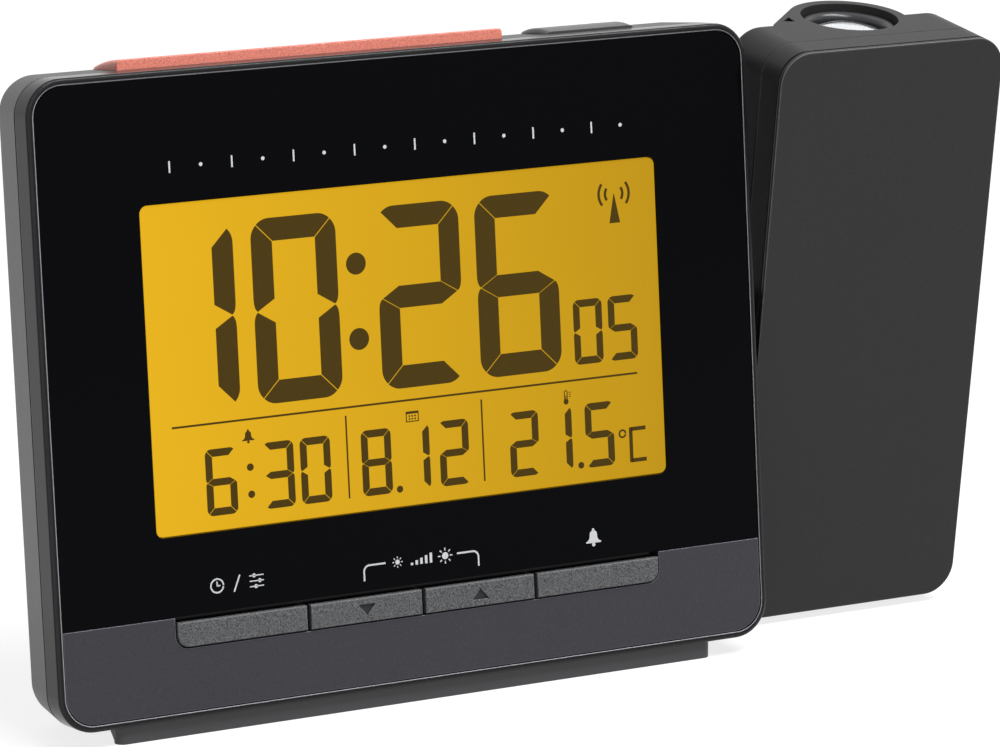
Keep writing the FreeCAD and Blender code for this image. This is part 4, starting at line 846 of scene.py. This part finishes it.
@dataclass
class WindowPrint:
    """Pale marks printed on the black window: a row of ticks and the buttons' signs."""
    seat: Seat
    ink_and_shade: bpy.types.Material
    face: float = 0.1
    lift: float = 0.02
    tick_count: int = 16
    tick_left: float = -37.7
    tick_right: float = 37.0
    tick_level: float = 33.3
    tick_height: float = 1.7
    sign_level: float = -28.4
    bracket_inner: float = 6.0
    bracket_outer: float = 9.6
    bracket_bend: float = 0.9
    bracket_drop: float = 2.3
    stroke: float = 0.26

    def ticks(self) -> list[Edges]:
        """Evenly spaced upright ticks with a dot between each two."""
        places = np.linspace(self.tick_left, self.tick_right, self.tick_count)
        level, half = self.tick_level, self.tick_height / 2
        bars = [line((x, level - half), (x, level + half), self.stroke) for x in places[::2]]
        return bars + [disc((x, level), self.stroke * 1.1, 14) for x in places[1::2]]

    def bracket(self, side: int) -> list[Edges]:
        """One arm of the bracket over the middle buttons: level, a round bend, then down."""
        x, z, r = side * self.bracket_outer, self.sign_level + 0.1, self.bracket_bend
        start, end = (90, 0) if side > 0 else (90, 180)
        return [line((side * self.bracket_inner, z), (x - side * r, z), self.stroke),
                arc((x - side * r, z - r), r, self.stroke, start, end, 12),
                line((x, z - r), (x, z - self.bracket_drop), self.stroke)]

    def build(self) -> None:
        """Draw the row of ticks, the bracket and the signs over the buttons."""
        signs = Symbols()
        z = self.sign_level
        low, heights = z - 0.75, np.linspace(0.35, 1.5, 5)
        steps = [line((x, low), (x, low + height), 0.42)
                 for x, height in zip(np.linspace(-1.6, 1.6, 5), heights)]
        dimmer = signs.lamp(-4.0, z, 0.85) + steps + signs.lamp(4.0, z, 1.2)
        mode = signs.dial(-33.6, z + 0.1, 1.15) + [line((-30.9, z - 1.1), (-29.9, z + 1.3), 0.24)]
        mode += signs.sliders(-27.2, z + 0.1, 1.15)
        strokes = self.ticks() + self.bracket(-1) + self.bracket(1) + dimmer + mode
        strokes += signs.bell(29.4, z - 0.2, 1.4)
        piece = Piece("window_print", self.seat)
        for edges in strokes:
            piece.slab(edges, self.face - self.lift, self.face)
        piece.make("case", self.ink_and_shade, "window_black")


@dataclass
class ScrewCrosses:
    """Dark crosses on the screws' heads: painted shade standing for their cross recesses."""
    seat: Seat
    ink_and_shade: bpy.types.Material
    name: str
    body: str
    places: tuple[tuple[float, float], ...]
    head: float
    reach: float
    first_turn: float = 20.0
    next_turn: float = 37.0
    lift: float = 0.02
    step: float = 0.01

    def build(self) -> None:
        """Lay two short strokes on each head."""
        piece = Piece(self.name, self.seat)
        for number, (x, z) in enumerate(self.places):
            turn = math.radians(self.first_turn + self.next_turn * number)
            centre = np.array([x, z])
            for extra, lift in ((0.0, self.lift), (math.pi / 2, self.lift + self.step)):
                ray = np.array([math.cos(turn + extra), math.sin(turn + extra)]) * self.reach
                stroke = line(centre - ray, centre + ray, self.reach * 0.4)
                piece.slab(stroke, self.head, self.head + lift)
        piece.make(self.body, self.ink_and_shade, "steel")


@dataclass
class ButtonArrows:
    """Dark triangles in the recesses of the two middle buttons."""
    seat: Seat
    ink_and_shade: bpy.types.Material
    centre: float = 9.525
    level: float = -34.8
    half_width: float = 1.43
    half_height: float = 0.83
    floor: float = 0.1
    lift: float = 0.04

    def build(self) -> None:
        """Lay one triangle in each recess: the left button's points down, the right one's up."""
        for body, side in (("down_key", -1), ("up_key", 1)):
            x = side * self.centre
            rows = [self.level - side * self.half_height, self.level + side * self.half_height]
            left = np.stack([[x - self.half_width, x - self.lift], rows], axis=1)
            right = np.stack([[x + self.half_width, x + self.lift], rows], axis=1)
            piece = Piece(f"{body}_arrow", self.seat)
            piece.slab((left, right), self.floor - self.lift, self.floor)
            piece.make(body, self.ink_and_shade, "button_grey")


@dataclass
class Studio:
    """Camera, pale floor, plain surroundings and two soft lamps."""
    camera_place: tuple[float, float, float] = (-0.35297, -0.69128, 0.21654)
    camera_down: float = 12.433
    camera_aside: float = -28.704
    focal: float = 189.18
    floor_half: float = 6.0
    floor_grey: float = 0.3
    floor_light: float = 0.4
    floor_shown: float = 0.8
    fill: float = 0.3
    lamp_aim: tuple[float, float, float] = (0.02, 0.0, 0.05)

    def camera(self) -> None:
        """The photograph's viewing angle."""
        data = bpy.data.cameras.new("camera")
        data.sensor_width, data.lens = 36.0, self.focal
        eye = bpy.data.objects.new("camera", data)
        eye.location = self.camera_place
        pitch, turn = math.radians(90 - self.camera_down), math.radians(self.camera_aside)
        eye.rotation_euler = (pitch, 0, turn)
        bpy.context.scene.collection.objects.link(eye)
        bpy.context.scene.camera = eye

    def floor(self) -> None:
        """A pale floor that keeps the object's shadow and lights its underside."""
        half = self.floor_half
        corners = [(-half, -half, 0), (half, -half, 0), (half, half, 0), (-half, half, 0)]
        mesh = bpy.data.meshes.new("floor")
        mesh.from_pydata(corners, [], [(0, 1, 2, 3)])
        shader = Shader(bpy.data.materials.new("floor_white"))
        light = shader.blend(shader.shown(), (self.floor_light,) * 3, (self.floor_shown,) * 3)
        shader.set("Base Color", (self.floor_grey,) * 3)
        shader.set("Roughness", 0.9)
        shader.set("Specular IOR Level", 0.0)
        shader.set("Emission Color", light)
        shader.set("Emission Strength", 1.0)
        mesh.materials.append(shader.owner)
        floor = bpy.data.objects.new("floor", mesh)
        bpy.context.scene.collection.objects.link(floor)

    def surroundings(self) -> None:
        """White to the camera, in gloss and through glass, and dimmer as light on matt faces."""
        world = bpy.data.worlds.new("studio")
        shader = Shader(world, "ShaderNodeBackground", "ShaderNodeOutputWorld")
        shader.set("Color", (1.0, 1.0, 1.0))
        shader.set("Strength", self.fill + shader.shown() * (1.0 - self.fill))
        bpy.context.scene.world = world

    def lamp(self, name: str, place: tuple[float, float, float], size: tuple[float, float],
             power: float) -> None:
        """Hang one soft lamp that looks at the clock.

        Args:
            name: its name.
            place: its centre, in metres.
            size: its width and height, in metres.
            power: its power, in watts.
        """
        data = bpy.data.lights.new(name, "AREA")
        data.shape, data.energy = "RECTANGLE", power
        data.size, data.size_y = size
        lamp = bpy.data.objects.new(name, data)
        lamp.location = place
        aim = Vector(self.lamp_aim) - Vector(place)
        lamp.rotation_euler = aim.to_track_quat("-Z", "Y").to_euler()
        bpy.context.scene.collection.objects.link(lamp)

    def build(self) -> None:
        """Set everything up."""
        self.camera()
        self.floor()
        self.surroundings()
        self.lamp("top_lamp", (-0.15, 0.35, 1.4), (1.0, 1.0), 2.0)
        self.lamp("strip_lamp", (0.35, -0.55, 1.1), (1.2, 0.22), 18.0)
        bpy.context.scene.view_settings.view_transform = "Standard"
        log.info("studio: camera, floor and lamps are set")


@dataclass
class Clock:
    """The whole clock: finds where case and arm stand, dresses the solids and adds the pieces.

    Leans are in degrees back from upright. Places are in millimetres, in the axes of the case or
    the arm; the pivot is the swivel's (y, z) in those of the case.
    """
    lean: float = 5.3
    arm_lean: float = -7.6
    pivot: tuple[float, float] = (10.19, -1.01)
    case_screw: tuple[float, float] = (52.0, 40.1)
    case_screw_head: float = 13.3
    case_cross: float = 1.4
    arm_screw_columns: tuple[float, float] = (67.27, 96.07)
    arm_screw_level: float = 38.6
    arm_screw_head: float = 4.8
    arm_cross: float = 1.0

    def seats(self) -> tuple[Seat, Seat]:
        """Read the swivel's place from the model and work out both seats."""
        joint = [j for j in frame["joints"] if j["name"] == "projector_tilt"][0]
        pivot = np.array(joint["pos_m"]) / MM
        unmoved = Seat(self.lean, (0.0, 0.0, 0.0)).place(np.array([[0.0, *self.pivot]]))[0] / MM
        case = Seat(self.lean, (0.0, pivot[1] - unmoved[1], pivot[2] - unmoved[2]))
        arm = Seat(self.arm_lean, (0.0, pivot[1], pivot[2]))
        return case, arm

    def dress(self) -> None:
        """Give every solid the finish of its slot."""
        made = {slot: finish.make(slot) for slot, finish in FINISHES.items()}
        for part in frame["record"]["subparts"]:
            solid = frame["nodes"][part["node"]]
            solid.data.materials.clear()
            solid.data.materials.append(made[part["material_slot"]])
            log.info("%s: %s", part["node"], part["material_slot"])

    def build(self) -> None:
        """Dress the solids and build each visual piece."""
        case, arm = self.seats()
        self.dress()
        picture_ink = InkAndShade((0.053, 0.032, 0.005), 0.25, 0.05).make("display_ink")
        print_ink = InkAndShade((0.62, 0.63, 0.66)).make("print_ink")
        # Painted shade: the screws' cross recesses are drawn as near-black crosses.
        painted_recess_shade = InkAndShade((0.01, 0.01, 0.01)).make("painted_recess_shade")
        DisplayPicture(case, picture_ink).build()
        WindowPrint(case, print_ink).build()
        # The middle buttons' arrows: dark triangles laid on their recess floors.
        ButtonArrows(case, InkAndShade((0.028, 0.028, 0.03)).make("arrow_dark")).build()
        self.crosses("case", case, painted_recess_shade)
        self.crosses("arm", arm, painted_recess_shade)

    def crosses(self, body: str, seat: Seat, ink_and_shade: bpy.types.Material) -> None:
        """Draw the painted shade in the cross recesses of one body's screws.

        Args:
            body: the case or the arm.
            seat: where it stands.
            ink_and_shade: the finish of the painted shade in the recesses.
        """
        if body == "case":
            columns, level = (-self.case_screw[0], self.case_screw[0]), self.case_screw[1]
            head, reach = self.case_screw_head, self.case_cross
        else:
            columns, level = self.arm_screw_columns, self.arm_screw_level
            head, reach = self.arm_screw_head, self.arm_cross
        places = tuple((x, z) for z in (-level, level) for x in columns)
        ScrewCrosses(seat, ink_and_shade, f"{body}_screw_crosses", body, places, head, reach).build()


def main() -> None:
    """Build the scene in order."""
    logging.basicConfig(level=logging.INFO, format="%(message)s")
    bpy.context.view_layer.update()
    Studio().build()
    Clock().build()
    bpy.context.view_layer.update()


if __name__ == "__main__":
    main()
